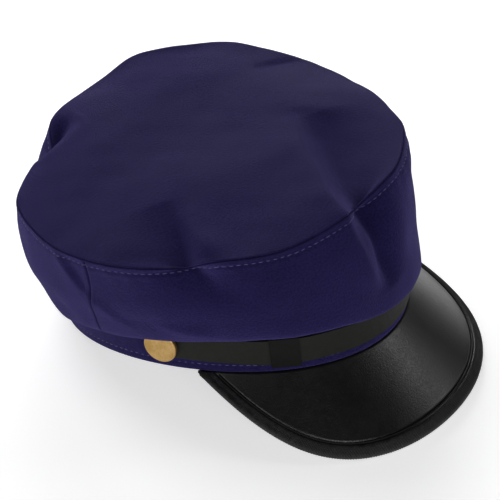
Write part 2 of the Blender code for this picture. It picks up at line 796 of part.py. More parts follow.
def settle(pressed):
    """Tilt and lower the cap onto the table, and flatten what the table presses."""
    points = cap_points(list(PARTS.objects))
    turn = Matrix.Rotation(-rest_tilt(points), 4, "X")
    turned = points @ np.array(turn.to_3x3()).T
    low = turned.min(axis=0)
    high = turned.max(axis=0)
    middle = 0.5 * (low + high)
    CAP_FRAME.matrix_world = Matrix.Translation((-middle[0], -middle[1], -low[2] - REST_PRESS)) @ turn
    size = 2 * (high[1] - low[1])
    bpy.ops.mesh.primitive_cube_add(size=size, location=(0, 0, -0.5 * size))
    table = bpy.context.object
    table.name = "table_top"
    make_cutter(table)
    for piece in pressed:
        cut_with(piece, table)


for leftover in list(bpy.data.objects):
    bpy.data.objects.remove(leftover, do_unlink=True)
PARTS = bpy.data.collections.new("peaked_sailor_cap")
CUTTERS = bpy.data.collections.new("cutters")
bpy.context.scene.collection.children.link(PARTS)
bpy.context.scene.collection.children.link(CUTTERS)
CAP_FRAME = bpy.data.objects.new("cap_frame", None)
bpy.context.scene.collection.objects.link(CAP_FRAME)

make_crown_top()
make_crown_side("crown_front", from_back=False)
make_crown_side("crown_back", from_back=True)
band = make_band()
make_peak()
binding = make_binding()
make_strap()
make_keeper()
make_button("button_right", 1)
make_button("button_left", -1)
settle((band, binding))
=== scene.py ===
import math

import bpy
import numpy as np
from mathutils import Matrix, Vector


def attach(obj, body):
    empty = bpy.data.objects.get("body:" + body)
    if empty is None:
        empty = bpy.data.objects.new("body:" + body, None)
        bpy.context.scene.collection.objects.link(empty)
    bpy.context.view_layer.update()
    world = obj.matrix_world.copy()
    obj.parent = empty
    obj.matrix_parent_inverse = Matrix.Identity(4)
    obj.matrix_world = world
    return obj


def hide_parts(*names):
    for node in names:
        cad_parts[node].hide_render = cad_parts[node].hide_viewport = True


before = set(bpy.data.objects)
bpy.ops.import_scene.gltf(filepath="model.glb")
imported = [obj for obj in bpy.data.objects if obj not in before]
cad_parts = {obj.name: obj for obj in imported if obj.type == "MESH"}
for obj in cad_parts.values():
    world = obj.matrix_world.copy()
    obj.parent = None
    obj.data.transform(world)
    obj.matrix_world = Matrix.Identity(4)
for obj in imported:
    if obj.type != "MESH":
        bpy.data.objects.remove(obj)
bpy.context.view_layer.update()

MM = 0.001

# Where the cap lies in the row frame, as its solids do
CAP_TILT = -10.061
CAP_PLACE = (0.000252, 0.008706, 0.016873)
CAP = Matrix.Translation(CAP_PLACE) @ Matrix.Rotation(math.radians(CAP_TILT), 4, "X")

# Sizes in metres and degrees. They are the solids' own, apart from the side seams' lower ends, the
# keeper and the buttons, which are fitted a little closer to the photo here.
HEAD_GIRTH = 0.580
HEAD_LENGTH_OVER_WIDTH = 1.187
BACK_WIDENING = 0.020
BAND_HEIGHT = 0.036
BAND_WALL = 0.0025
RIM_ARCH = 0.009
CLOTH = 0.0015
SEAM_GAP = 0.0003
CROWN_WIDTH = 0.202
CROWN_LENGTH = 0.213
CROWN_HEIGHT = 0.091
CROWN_SET_BACK = 0.004
CROWN_DIP_FRONT = 0.0066
CROWN_DIP_RIGHT = 0.0102
CROWN_WARP = 0.0042
CROWN_WARP_ANGLE = 34.5
DOME_RISE = 0.006
OVERHANG = 0.016
SIDE_SEAM_TOP_ANGLE = 97.0
SIDE_SEAM_LOW_ANGLE = 103.0
PEAK_REACH = 0.054
PEAK_HALF_ANGLE = 75.6
PEAK_DROOP = 46.0
PEAK_WALL = 0.002
BINDING_WIDTH = 0.0072
STRAP_WIDTH = 0.0148
STRAP_WALL = 0.0014
STRAP_HEIGHT_FRONT = 0.0053
STRAP_HEIGHT_ENDS = 0.008
STRAP_PAST_BUTTON = 0.004
KEEPER_ANGLE = 46.8
KEEPER_WIDTH = 0.0148
KEEPER_WALL = 0.0009
KEEPER_ROOM = 0.0017
KEEPER_EASE = 0.020
BUTTON_ANGLE = 84.2
BUTTON_RADIUS = 0.0093
BUTTON_THICKNESS = 0.003

# Finer sizes that only show here. The two ends are shares of the peak's half angle, and the
# seam's reach is a share of a panel's depth.
PEAK_END = 0.985
BAND_CLEARANCE = 0.0004
BEAD_RADIUS = 0.0005
BEAD_END = 0.908
BEAD_INSIDE = 0.00815
BEAD_LIFT = 0.00012
SEAM_DEPTH = 0.0014
SEAM_HALF_WIDTH = 0.00050
SEAM_REACH = 0.055
EDGE_TURN = 0.0025
TOPSTITCH_DROP = 0.0037
BAND_STITCH_UP = 0.0045
STITCH_PITCH = 0.0037
STITCH_LENGTH = 0.0025
STITCH_THICKNESS = 0.00045

# The peak's length, droop and turn as sums of powers of the place along it, -1 to 1
PEAK_POWERS = (0, 2, 4, 8)
PEAK_LENGTH_SHARES = (1.0, 0.389, -0.853, -0.536)
PEAK_DROOP_SHARES = (1.0, -0.052, -0.133, 0.0)
PEAK_TURN_SHARES = (0.4275, -0.0911, 0.0, 0.0)

# The side wall's places from the top seam (0) to the band (1), and how high and how far out the
# middle ones lie: shares of the drop, of the band's height and of the overhang
SIDE_PLACES = {"seam": 0.0, "upper": 0.24, "lower": 0.54, "hang": 0.80, "tuck": 0.91, "band": 1.0}
UPPER_RISE = 0.70
LOWER_RISE = 0.33
TUCK_RISE = 0.45
TUCK_OUT = 0.30

# How far the side wall stands out at three places, as shares of the overhang, and how high its
# lower edge hangs, as a share of the band's height
SIDE_COLUMNS = ("angle", "upper", "lower", "hang", "hang_height")
SIDE_SECTIONS = (
    (-180, 0.88, 0.80, 0.34, 0.31),
    (-135, 1.00, 0.88, 0.40, 0.38),
    (-105, 1.06, 0.92, 0.50, 0.60),
    (-85, 1.06, 0.92, 0.55, 0.66),
    (-60, 0.92, 0.84, 0.53, 0.62),
    (-27, 0.58, 0.52, 0.42, 0.42),
    (-12, 0.47, 0.50, 0.44, 0.57),
    (0, 0.45, 0.53, 0.47, 0.63),
    (15, 0.50, 0.60, 0.50, 0.67),
    (30, 0.63, 0.72, 0.53, 0.75),
    (60, 0.94, 0.91, 0.56, 0.75),
    (90, 1.06, 0.94, 0.56, 0.63),
    (105, 1.06, 0.91, 0.47, 0.57),
    (120, 1.06, 0.89, 0.38, 0.49),
    (135, 1.00, 0.87, 0.27, 0.44),
)

# The top seam: its reach as a share of the crown's half size, its rise as a share of the dome's
SEAM_COLUMNS = ("angle", "reach", "rise")
SEAM_SECTIONS = (
    (-180, 0.940, -0.33),
    (-160, 0.953, -0.46),
    (-140, 0.986, 0.42),
    (-120, 0.999, 0.36),
    (-100, 0.992, 0.10),
    (-80, 0.984, -0.04),
    (-60, 0.993, -0.18),
    (-40, 0.999, -0.21),
    (-20, 1.006, -0.09),
    (0, 0.983, 0.14),
    (20, 0.988, -0.07),
    (40, 1.003, -0.25),
    (60, 0.998, 0.28),
    (80, 1.007, 0.18),
    (100, 1.008, 0.13),
    (120, 1.010, -0.02),
    (140, 0.990, -0.18),
    (160, 0.904, -0.41),
)

# Where the top seam stands out in a corner: angle, how far out in mm, half its width in degrees
SEAM_CORNERS = (
    (-113, 2.7, 7.0), (-85, 0.7, 8.0), (-57, 0.8, 7.0), (-39, 2.6, 8.0), (-20, -0.6, 8.0),
    (-141, 2.4, 8.0), (181, 1.7, 7.0), (137, 1.3, 6.0), (119, -0.8, 8.0),
)

# The cloth's gentle waves: length and height in mm, and how many
CLOTH_WAVE_SIZES = ((90, 0.40, 6), (45, 0.16, 8), (20, 0.045, 12))

# Folds and dents: name, places, left, right, crest and push. Each runs through its places: an
# angle, a share (0 top middle, 1 top seam, 2 band) and its strength there. Left and right are
# its widths to either side in mm, walking along it; a crest near 1 is crisp and near 2 is
# round; its push out of the cloth is in mm.
FOLDS = (
    ("front_right_dent", ((83, 0.54, 0.0), (76, 0.65, 0.4), (71, 0.78, 0.9), (68, 0.90, 1.25),
                          (66, 1.04, 1.0)), 5.5, 17.0, 1.7, -6.6),
    ("front_right_ridge", ((68, 0.66, 0.0), (63, 0.78, 0.8), (59, 0.90, 1.0), (57, 1.00, 0.3)),
     8.0, 4.5, 1.6, 1.6),
    ("front_dent", ((-48, 0.56, 0.1), (-36, 0.58, 0.4), (-19, 0.65, 0.8), (-5, 0.76, 1.15),
                    (4, 0.88, 1.45), (8.5, 1.00, 1.35)), 24.0, 6.6, 1.8, -6.5),
    ("front_ridge", ((-52, 0.45, 0.0), (-37, 0.47, 0.5), (-14, 0.51, 1.0), (4, 0.67, 1.0),
                     (13, 0.82, 1.0), (16.5, 0.97, 0.8), (16.5, 1.06, 0.4)), 3.0, 12.0, 1.4, 2.0),
    ("front_dent_brow", ((-62, 0.50, 0.0), (-57, 0.56, 1.0), (-50, 0.65, 1.0), (-42, 0.71, 0.2)),
     8.0, 5.0, 1.8, 0.6),
    ("front_side_dent", ((7, 1.01, 0.5), (7, 1.09, 0.9), (8, 1.28, 1.0), (8.5, 1.46, 0.9),
                         (8, 1.62, 0.0)), 9.5, 7.0, 1.8, -8.0),
    ("front_side_ridge", ((17, 0.99, 0.5), (18.5, 1.12, 1.0), (18.5, 1.28, 1.0), (16.5, 1.44, 0.9),
                          (12, 1.58, 0.1)), 3.4, 8.0, 1.4, 1.8),
    ("front_left_bulge", ((-40, 1.09, 0.0), (-31, 1.09, 1.0), (-23, 1.10, 1.0), (-12, 1.10, 0.0)),
     6.0, 7.0, 2.0, 2.0),
    ("right_side_dent", ((66, 1.02, 0.6), (64, 1.10, 1.0), (63, 1.20, 0.9), (58, 1.36, 0.2)),
     9.0, 6.5, 1.9, -3.0),
    ("right_side_wrinkle", ((76, 1.12, 0.0), (73, 1.20, 1.0), (70, 1.27, 0.8), (66, 1.34, 0.0)),
     2.4, 3.4, 1.6, 0.3),
    ("side_back_ridge", ((111, 1.02, 0.1), (107.5, 1.10, 1.0), (104, 1.25, 1.0), (100, 1.38, 0.5),
                         (97, 1.50, 0.0)), 2.8, 7.0, 1.3, 1.6),
    ("side_hollow", ((103, 1.07, 0.8), (102.5, 1.16, 1.0), (101, 1.28, 0.7), (100, 1.42, 0.0)),
     4.5, 4.5, 1.8, -1.2),
    ("side_diagonal", ((99, 1.36, 0.0), (96, 1.48, 1.0), (92, 1.58, 1.0), (87, 1.64, 0.2)),
     4.0, 6.0, 1.6, 1.1),
    ("side_swag", ((82, 1.56, 0.0), (76, 1.62, 1.0), (70, 1.65, 1.0), (64, 1.68, 0.0)),
     6.0, 3.5, 1.6, 1.0),
    ("back_hang_tuck", ((130, 1.45, 0.0), (122, 1.60, 1.0), (114, 1.66, 0.8), (108, 1.70, 0.0)),
     9.0, 9.0, 2.0, -1.7),
    ("left_tuck", ((-102, 0.72, 0.0), (-96, 0.80, 0.7), (-91, 0.90, 1.0), (-87, 0.97, 0.5)),
     3.2, 7.0, 1.5, -1.4),
    ("back_dent", ((180, 0.80, 0.0), (173, 0.88, 0.7), (167, 0.95, 1.0), (163, 1.02, 1.0),
                   (163, 1.18, 0.9), (164, 1.36, 0.1)), 7.0, 11.0, 1.8, -8.0),
    ("back_ridge", ((182, 0.80, 0.0), (176, 0.83, 0.7), (166, 0.87, 1.0), (160, 0.91, 1.0),
                    (155, 0.95, 0.4), (152, 0.98, 0.0)), 11.0, 3.2, 1.3, 2.0),
    ("left_side_dent", ((-66, 1.04, 0.2), (-63, 1.16, 1.0), (-58, 1.36, 0.8), (-55, 1.52, 0.0)),
     8.0, 6.0, 1.8, -3.0),
    ("left_side_ridge", ((-76, 1.04, 0.2), (-72, 1.18, 1.0), (-69, 1.40, 0.8), (-68, 1.56, 0.0)),
     5.0, 8.0, 1.5, 1.4),
    ("back_left_dent", ((-134, 1.06, 0.2), (-136, 1.16, 1.0), (-138, 1.30, 1.0),
                        (-139, 1.46, 0.2)), 8.0, 6.0, 1.8, -3.0),
)


# Curves and places, as in the solids

def column(columns, rows, name):
    place = columns.index(name)
    return np.array([row[place] for row in rows], float)


def smooth_between(knots, values, at):
    """Smooth curve through values at rising knots, one value per knot."""
    knots = np.asarray(knots, float)
    values = np.asarray(values, float)
    return smooth_paths(knots, values[:, None, None], np.ravel(at))[:, 0].reshape(np.shape(at))


def smooth_paths(knots, paths, at):
    """Smooth curves through points at rising knots: paths is knots x curves x coordinates."""
    slopes = np.gradient(paths, knots, axis=0)
    at = np.clip(at, knots[0], knots[-1])
    left = np.clip(np.searchsorted(knots, at, side="right") - 1, 0, len(knots) - 2)
    width = (knots[left + 1] - knots[left])[:, None]
    share = ((at - knots[left]) / width[:, 0])[:, None]
    curve = np.arange(len(at)) if paths.shape[1] > 1 else np.zeros(len(at), int)
    square = share ** 2
    cube = share ** 3
    return (paths[left, curve] * (2 * cube - 3 * square + 1)
            + slopes[left, curve] * width * (cube - 2 * square + share)
            + paths[left + 1, curve] * (3 * square - 2 * cube)
            + slopes[left + 1, curve] * width * (cube - square))


def round_value(columns, rows, name, angle):
    knots = column(columns, rows, "angle")
    values = column(columns, rows, name)
    knots = np.concatenate([knots - 360, knots, knots + 360])
    return smooth_between(knots, np.tile(values, 3), (np.asarray(angle, float) + 180) % 360 - 180)


def bump(distance, middle, width):
    return np.exp(-((distance - middle) / width) ** 2)


def unit(vectors):
    return vectors / np.maximum(np.linalg.norm(vectors, axis=-1, keepdims=True), 1e-12)


def run_lengths(points, axis=0):
    """Distance run along rows of points, from the first one."""
    steps = np.linalg.norm(np.diff(points, axis=axis), axis=-1)
    first = np.zeros_like(np.take(steps, [0], axis=axis))
    return np.concatenate([first, np.cumsum(steps, axis=axis)], axis)


def rim_half_sizes():
    turn = np.linspace(0, 2 * math.pi, 721)
    oval = np.stack([np.sin(turn), HEAD_LENGTH_OVER_WIDTH * np.cos(turn)], 1)
    half_width = HEAD_GIRTH / run_lengths(oval)[-1]
    return half_width, half_width * HEAD_LENGTH_OVER_WIDTH


HALF_WIDTH, HALF_LENGTH = rim_half_sizes()


def rim_outward(angle):
    turn = np.radians(np.asarray(angle, float))
    x = -HALF_LENGTH * np.sin(turn)
    y = -HALF_WIDTH * np.cos(turn)
    return unit(np.stack([x, y, np.zeros_like(x)], -1))


def rim_point(angle, out=0.0, up=0.0):
    """Point beside the band: out from its outer face and up from its arched rim."""
    turn = np.radians(np.asarray(angle, float))
    out = np.asarray(out, float)
    up = np.asarray(up, float)
    x = -HALF_WIDTH * np.sin(turn) * (1 - BACK_WIDENING * np.cos(turn))
    y = -HALF_LENGTH * np.cos(turn)
    z = RIM_ARCH * np.sin(turn) ** 2 + up
    away = rim_outward(angle)
    return np.stack(np.broadcast_arrays(x + away[..., 0] * out, y + away[..., 1] * out, z), -1)


def seam_rise(angle, share):
    turn = np.radians(angle)
    tilt = -CROWN_DIP_FRONT * np.cos(turn) - CROWN_DIP_RIGHT * np.sin(turn)
    warp = CROWN_WARP * np.cos(2 * (turn - math.radians(CROWN_WARP_ANGLE)))
    wave = round_value(SEAM_COLUMNS, SEAM_SECTIONS, "rise", angle) * DOME_RISE
    return tilt * share + warp * share ** 2 + wave * share ** 4


def smooth_top(angle, share):
    turn = np.radians(np.asarray(angle, float))
    share = np.asarray(share, float)
    reach = round_value(SEAM_COLUMNS, SEAM_SECTIONS, "reach", angle)
    corner = sum(out * bump((angle - middle + 180) % 360 - 180, 0, half_width)
                 for middle, out, half_width in SEAM_CORNERS)
    reach = reach + corner * MM / (0.5 * CROWN_WIDTH) * share ** 6
    reach = share * (1 + (reach - 1) * share ** 2)
    x = -0.5 * CROWN_WIDTH * np.sin(turn) * reach
    y = CROWN_SET_BACK - 0.5 * CROWN_LENGTH * np.cos(turn) * reach
    z = CROWN_HEIGHT + seam_rise(angle, share) + DOME_RISE * (1 - share ** 3)
    return np.stack(np.broadcast_arrays(x, y, z), -1)


def side_value(name, angle):
    return round_value(SIDE_COLUMNS, SIDE_SECTIONS, name, angle)


def smooth_side(angle, share):
    angle = np.asarray(angle, float)
    seam = smooth_top(angle, np.ones_like(angle))
    hang_height = side_value("hang_height", angle) * BAND_HEIGHT
    hang_out = side_value("hang", angle) * OVERHANG
    drop = seam[..., 2] - rim_point(angle)[..., 2] - hang_height
    upper_out = side_value("upper", angle) * OVERHANG
    lower_out = side_value("lower", angle) * OVERHANG
    upper = rim_point(angle, upper_out, hang_height + UPPER_RISE * drop)
    lower = rim_point(angle, lower_out, hang_height + LOWER_RISE * drop)
    hang = rim_point(angle, hang_out, hang_height)
    tuck_up = hang_height + TUCK_RISE * (BAND_HEIGHT - hang_height)
    tuck = rim_point(angle, TUCK_OUT * hang_out, tuck_up)
    band_top = rim_point(angle, 0.0, BAND_HEIGHT + SEAM_GAP)
    path = np.stack([seam, upper, lower, hang, tuck, band_top]).reshape(len(SIDE_PLACES), -1, 3)
    shares = np.broadcast_to(np.asarray(share, float), angle.shape).reshape(-1)
    knots = np.array(list(SIDE_PLACES.values()))
    return smooth_paths(knots, path, shares).reshape(angle.shape + (3,))


def smooth_crown(angle, share):
    angle = np.array([float(angle)])
    if share <= 1:
        return smooth_top(angle, np.array([share]))[0]
    return smooth_side(angle, np.array([share - 1.0]))[0]


CROWN_CORE = np.array([0.0, CROWN_SET_BACK, 0.5 * CROWN_HEIGHT])


# The soft crown: folds and a slight unevenness

FOLD_STEPS = 25
FOLD_REACH = 3.2
CREST_ROUNDING = 0.2
PUSH_CENTRE = np.array([0.0, CROWN_SET_BACK, -0.005])


def fold_lines():
    """Each fold as a smooth row of points with its strength there, widths, crest and push."""
    lines = []
    for _, places, left, right, crest, push in FOLDS:
        corners = np.array([[*smooth_crown(angle, share), strength]
                            for angle, share, strength in places])
        knots = np.linspace(0, 1, len(corners))
        at = np.linspace(0, 1, FOLD_STEPS)
        path = np.stack([smooth_between(knots, corners[:, i], at) for i in range(4)], 1)
        strength = np.maximum(path[:, 3], 0)
        lines.append((path[:, :3], strength, left * MM, right * MM, crest, push * MM))
    return lines


def cloth_waves():
    """Gentle waves of the cloth: a way, a phase and a height for each."""
    draw = np.random.default_rng(8)
    waves = []
    for length, height, count in CLOTH_WAVE_SIZES:
        for _ in range(count):
            way = unit(draw.normal(size=3)) * 2 * math.pi / (length * MM * draw.uniform(0.8, 1.3))
            phase = draw.uniform(0, 2 * math.pi)
            waves.append((way, phase, height * MM * draw.uniform(0.6, 1.2)))
    return waves


FOLD_LINES = fold_lines()
CLOTH_WAVES = cloth_waves()


def fold_push(points, path, strength, left, right, crest, push):
    """How far one fold moves the points out or in."""
    reach = FOLD_REACH * max(left, right)
    near = np.all((points > path.min(0) - reach) & (points < path.max(0) + reach), axis=-1)
    spots = points[near]
    runs = np.diff(path, axis=0)
    gaps = spots[:, None] - path[None, :-1]
    share = np.clip(np.sum(gaps * runs, -1) / np.sum(runs * runs, -1), 0, 1)
    gaps = gaps - share[..., None] * runs
    far = np.linalg.norm(gaps, axis=-1)
    nearest = np.argmin(far, axis=1)
    pick = (np.arange(len(spots)), nearest)
    leftward = unit(np.cross(path[:-1] - CROWN_CORE, runs))[nearest]
    side = np.sum(gaps[pick] * leftward, -1) / np.maximum(far[pick], 1e-9)
    width = right + (left - right) * (0.5 + 0.5 * np.clip(side, -1, 1))
    shape = (far[pick] / width) ** 2 + CREST_ROUNDING ** 2
    shape = np.exp(CREST_ROUNDING ** crest - shape ** (0.5 * crest))
    along = nearest + share[pick]
    moved = np.zeros(points.shape[:-1])
    moved[near] = push * shape * np.interp(along, np.arange(len(path)), strength)
    return moved


def soft_crown(points, normal, from_seam):
    """Points of the smooth crown with all its folds; from_seam is a share, 0 at the seam."""
    push = np.zeros(points.shape[:-1])
    for fold in FOLD_LINES:
        push += fold_push(points, *fold)
    for way, phase, height in CLOTH_WAVES:
        push += height * np.sin(points @ way + phase)
    by_seam = bump(from_seam, 0, SEAM_REACH)[..., None]
    way_out = unit(normal * (1 - by_seam) + unit(points - PUSH_CENTRE) * by_seam)
    return points + way_out * push[..., None]


NEAR_ANGLE = 0.25
NEAR_SHARE = 0.002
SETTLE_SHARE = 0.14
LEAST_LEAN = 0.5


def surface_normal(surface, angle, share, lowest=0.0):
    """Unit normal of a crown surface, pointing out of the cap."""
    share = np.maximum(share, lowest)
    low = np.clip(share - NEAR_SHARE, 0, 1)
    high = np.clip(share + NEAR_SHARE, 0, 1)
    round_cap = surface(angle + NEAR_ANGLE, share) - surface(angle - NEAR_ANGLE, share)
    down_wall = surface(angle, high) - surface(angle, low)
    return unit(np.cross(round_cap, down_wall))


def soft_top(angle, share):
    share = np.asarray(share, float)
    normal = surface_normal(smooth_top, angle, share, lowest=0.02)
    return soft_crown(smooth_top(angle, share), normal, 1 - share)


def soft_side(angle, share):
    """The side wall; its folds fade out where it runs back to the band's top."""
    share = np.asarray(share, float)
    points = smooth_side(angle, share)
    folded = soft_crown(points, surface_normal(smooth_side, angle, share), share)
    settle = np.clip((1 - share) / SETTLE_SHARE, 0, 1)[..., None]
    return points + (folded - points) * settle


def seam_table():
    """For each degree of the top seam: the way into the seam and its mitre depth."""
    angle = np.arange(-180.0, 181.0, 1.0)
    ones = np.ones_like(angle)
    top_normal = surface_normal(soft_top, angle, ones)
    side_normal = surface_normal(soft_side, angle, 0 * ones)
    inward = -unit(top_normal + side_normal)
    lean = np.maximum(-np.sum(inward * top_normal, -1), LEAST_LEAN)
    return angle, inward, CLOTH / lean


SEAM_TABLE = seam_table()


def at_seam(angle):
    """The seam table's way in and mitre depth at any angles."""
    angles, inward, depth = SEAM_TABLE
    angle = (angle + 180) % 360 - 180
    way = np.stack([np.interp(angle, angles, inward[:, i]) for i in range(3)], -1)
    return unit(way), np.interp(angle, angles, depth)


# Making pieces

def to_row(points):
    """Cap frame to row frame."""
    turn = np.array(CAP.to_3x3())
    return points @ turn.T + np.array(CAP.translation)


def nothing_selected():
    if bpy.context.object and bpy.context.object.mode != "OBJECT":
        bpy.ops.object.mode_set(mode="OBJECT")
    bpy.ops.object.select_all(action="DESELECT")


def select_only(piece):
    nothing_selected()
    piece.select_set(True)
    bpy.context.view_layer.objects.active = piece


def start_edit(piece):
    """Open the piece in edit mode with all of it selected."""
    select_only(piece)
    bpy.ops.object.mode_set(mode="EDIT")
    bpy.ops.mesh.select_all(action="SELECT")


def end_edit():
    bpy.ops.object.mode_set(mode="OBJECT")


def apply_modifier(piece, kind, **values):
    """Add a modifier with its values and apply it."""
    made = piece.modifiers.new(kind.lower(), kind)
    for name, value in values.items():
        setattr(made, name, value)
    bpy.context.view_layer.objects.active = piece
    bpy.ops.object.modifier_apply(modifier=made.name)


def give_wall(piece, thickness, offset=-1.0, use_even_offset=False):
    apply_modifier(piece, "SOLIDIFY", thickness=thickness, offset=offset,
                   use_even_offset=use_even_offset)


def round_edges(piece, width, segments, angle=40.0):
    apply_modifier(piece, "BEVEL", width=width, segments=segments, limit_method="ANGLE",
                   angle_limit=math.radians(angle))


def grid_piece(name, rows, columns):
    """A grid primitive, with the row and the column of each of its vertices."""
    nothing_selected()
    bpy.ops.mesh.primitive_grid_add(x_subdivisions=columns - 1, y_subdivisions=rows - 1, size=2)
    piece = bpy.context.object
    piece.name = name
    places = np.array([vertex.co[:] for vertex in piece.data.vertices])
    column_of = np.rint((places[:, 0] + 1) / 2 * (columns - 1)).astype(int)
    row_of = np.rint((places[:, 1] + 1) / 2 * (rows - 1)).astype(int)
    return piece, row_of, column_of


def set_points(piece, points, first=0):
    """Move the piece's vertices from the given one on, to points in the cap frame."""
    mesh = piece.data
    places = np.empty(len(mesh.vertices) * 3)
    mesh.vertices.foreach_get("co", places)
    places = places.reshape(-1, 3)
    places[first:first + len(points)] = to_row(points)
    mesh.vertices.foreach_set("co", places.reshape(-1))
    mesh.update()


def grid_through(name, points):
    """A piece made of a grid that runs through rows of points in the cap frame."""
    piece, row_of, column_of = grid_piece(name, *points.shape[:2])
    set_points(piece, points[row_of, column_of])
    return piece, row_of, column_of


def flatten_below_floor(piece):
    for vertex in piece.data.vertices:
        vertex.co.z = max(vertex.co.z, 0.0)


def set_uv(piece, coordinates):
    """One UV place for each vertex, in metres."""
    mesh = piece.data
    layer = mesh.uv_layers[0] if mesh.uv_layers else mesh.uv_layers.new()
    corners = np.empty(len(mesh.loops), int)
    mesh.loops.foreach_get("vertex_index", corners)
    layer.data.foreach_set("uv", coordinates[corners].astype(np.float32).reshape(-1))


def set_wear_and_painted_light(piece, shares):
    """Wear along the cloth's seams, and on the binding the paler colour painted on its rib crests
    as painted highlight, from 0 to 1 for each vertex; both sides of the wall alike.
    """
    layer = piece.data.attributes.new("wear_and_painted_light", "FLOAT", "POINT")
    layer.data.foreach_set("value", np.tile(shares, 2).astype(np.float32))


def face_outwards(piece, middle):
    """Turn the faces of an open surface away from the points in the middle of it (row frame)."""
    score = 0.0
    for face in piece.data.polygons:
        nearest = middle[np.argmin(np.linalg.norm(middle - np.array(face.center), axis=1))]
        score += face.area * float(np.dot(np.array(face.center) - nearest, face.normal))
    if score < 0:
        piece.data.flip_normals()


def weld(piece):
    """Join the edges that meet where a grid closes on itself."""
    start_edit(piece)
    bpy.ops.mesh.remove_doubles(threshold=0.02 * MM)
    end_edit()


def cloth_panel(name, outer, inner, uv, wear_and_painted_light):
    """A panel of cloth between two grids of points in the cap frame."""
    piece, row_of, column_of = grid_through(name, outer)
    set_uv(piece, uv[row_of, column_of])
    face_outwards(piece, to_row(CROWN_CORE[None, :]))
    give_wall(piece, CLOTH)
    set_points(piece, inner[row_of, column_of], first=len(row_of))
    set_wear_and_painted_light(piece, wear_and_painted_light[row_of, column_of])
    return piece


def finished(piece, material, slot_name, *nodes, angle=50.0):
    """Shade the piece, give it its material, let it ride and stand for its solids."""
    select_only(piece)
    bpy.ops.object.shade_smooth_by_angle(angle=math.radians(angle))
    piece.select_set(False)
    piece.data.materials.clear()
    piece.data.materials.append(material)
    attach(piece, "root")
    if nodes:
        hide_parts(*nodes)
    return piece


# Shader groups

def feed(tree, socket, value):
    """Link a socket to another one, or give it a plain value."""
    if hasattr(value, "links"):
        tree.links.new(value, socket)
    else:
        socket.default_value = value


def set_inputs(tree, made, **values):
    for name, value in values.items():
        feed(tree, made.inputs[name.replace("_", " ")], value)


def node(tree, kind, **values):
    """A new node; values are its properties, and its inputs by their names."""
    made = tree.nodes.new(kind)
    for name, value in values.items():
        if hasattr(made, name):
            setattr(made, name, value)
        else:
            set_inputs(tree, made, **{name: value})
    return made


def shader_group(name, inputs, outputs):
    """A node group: one vector input first, then numbers; its tree, its inputs, its output node."""
    tree = bpy.data.node_groups.new(name, "ShaderNodeTree")
    for place, (title, value) in enumerate(inputs.items()):
        kind = "NodeSocketFloat" if place else "NodeSocketVector"
        socket = tree.interface.new_socket(title, in_out="INPUT", socket_type=kind)
        if place:
            socket.default_value = value
    for title in outputs:
        tree.interface.new_socket(title, in_out="OUTPUT", socket_type="NodeSocketFloat")
    return tree, tree.nodes.new("NodeGroupInput").outputs, tree.nodes.new("NodeGroupOutput")


def place_group(tree, group, **values):
    made = node(tree, "ShaderNodeGroup", node_tree=group)
    set_inputs(tree, made, **values)
    return made.outputs


def math_node(tree, operation, *values):
    made = node(tree, "ShaderNodeMath", operation=operation)
    for place, value in enumerate(values):
        feed(tree, made.inputs[place], value)
    return made.outputs[0]


def weighted(tree, first, first_share, second, second_share):
    """Two sockets added in their shares."""
    return math_node(tree, "ADD", math_node(tree, "MULTIPLY", first, first_share),
                     math_node(tree, "MULTIPLY", second, second_share))


def mixed(tree, share, first, second):
    """A colour mix; first and second are sockets, or red, green and blue."""
    made = node(tree, "ShaderNodeMix", data_type="RGBA")
    for place, value in ((0, share), (6, first), (7, second)):
        if isinstance(value, tuple):
            value = (*value, 1.0)
        feed(tree, made.inputs[place], value)
    return made.outputs[2]


def ranged(tree, value, low, high, to_low=0.0, to_high=1.0):
    made = node(tree, "ShaderNodeMapRange", interpolation_type="SMOOTHSTEP")
    for place, number in enumerate((value, low, high, to_low, to_high)):
        feed(tree, made.inputs[place], number)
    return made.outputs[0]


def twill_group():
    """Twill weave from UV in metres: a height and a mask of the threads that lie on top."""
    tree, start, end = shader_group("twill_weave", {"UV": None, "Pitch": 0.0005},
                                    ("Height", "Thread"))
    parts = node(tree, "ShaderNodeSeparateXYZ", Vector=start["UV"])
    across = math_node(tree, "DIVIDE", parts.outputs[0], start["Pitch"])
    down = math_node(tree, "DIVIDE", parts.outputs[1], start["Pitch"])
    diagonal = math_node(tree, "ADD", across, down)
    line = math_node(tree, "SINE", math_node(tree, "MULTIPLY", diagonal, 2 * math.pi))
    yarn = math_node(tree, "SINE", math_node(tree, "MULTIPLY", across, 4 * math.pi))
    slub = node(tree, "ShaderNodeTexNoise", Vector=start["UV"], Scale=850.0, Detail=1.0)
    ribs = weighted(tree, line, 0.14, yarn, 0.06)
    height = math_node(tree, "ADD", ribs, slub.outputs["Fac"])
    set_inputs(tree, end, Height=height, Thread=ranged(tree, height, 0.25, 0.75))
    return tree


def mottle_group():
    """Soft uneven tone: a mask between 0 and 1 from two sizes of noise."""
    tree, start, end = shader_group("soft_mottle", {"Place": None, "Wide": 12.0, "Fine": 90.0},
                                    ("Mask",))
    wide = node(tree, "ShaderNodeTexNoise", Vector=start["Place"], Scale=start["Wide"], Detail=3.0)
    fine = node(tree, "ShaderNodeTexNoise", Vector=start["Place"], Scale=start["Fine"], Detail=4.0)
    both = weighted(tree, wide.outputs["Fac"], 0.6, fine.outputs["Fac"], 0.4)
    set_inputs(tree, end, Mask=ranged(tree, both, 0.35, 0.65))
    return tree


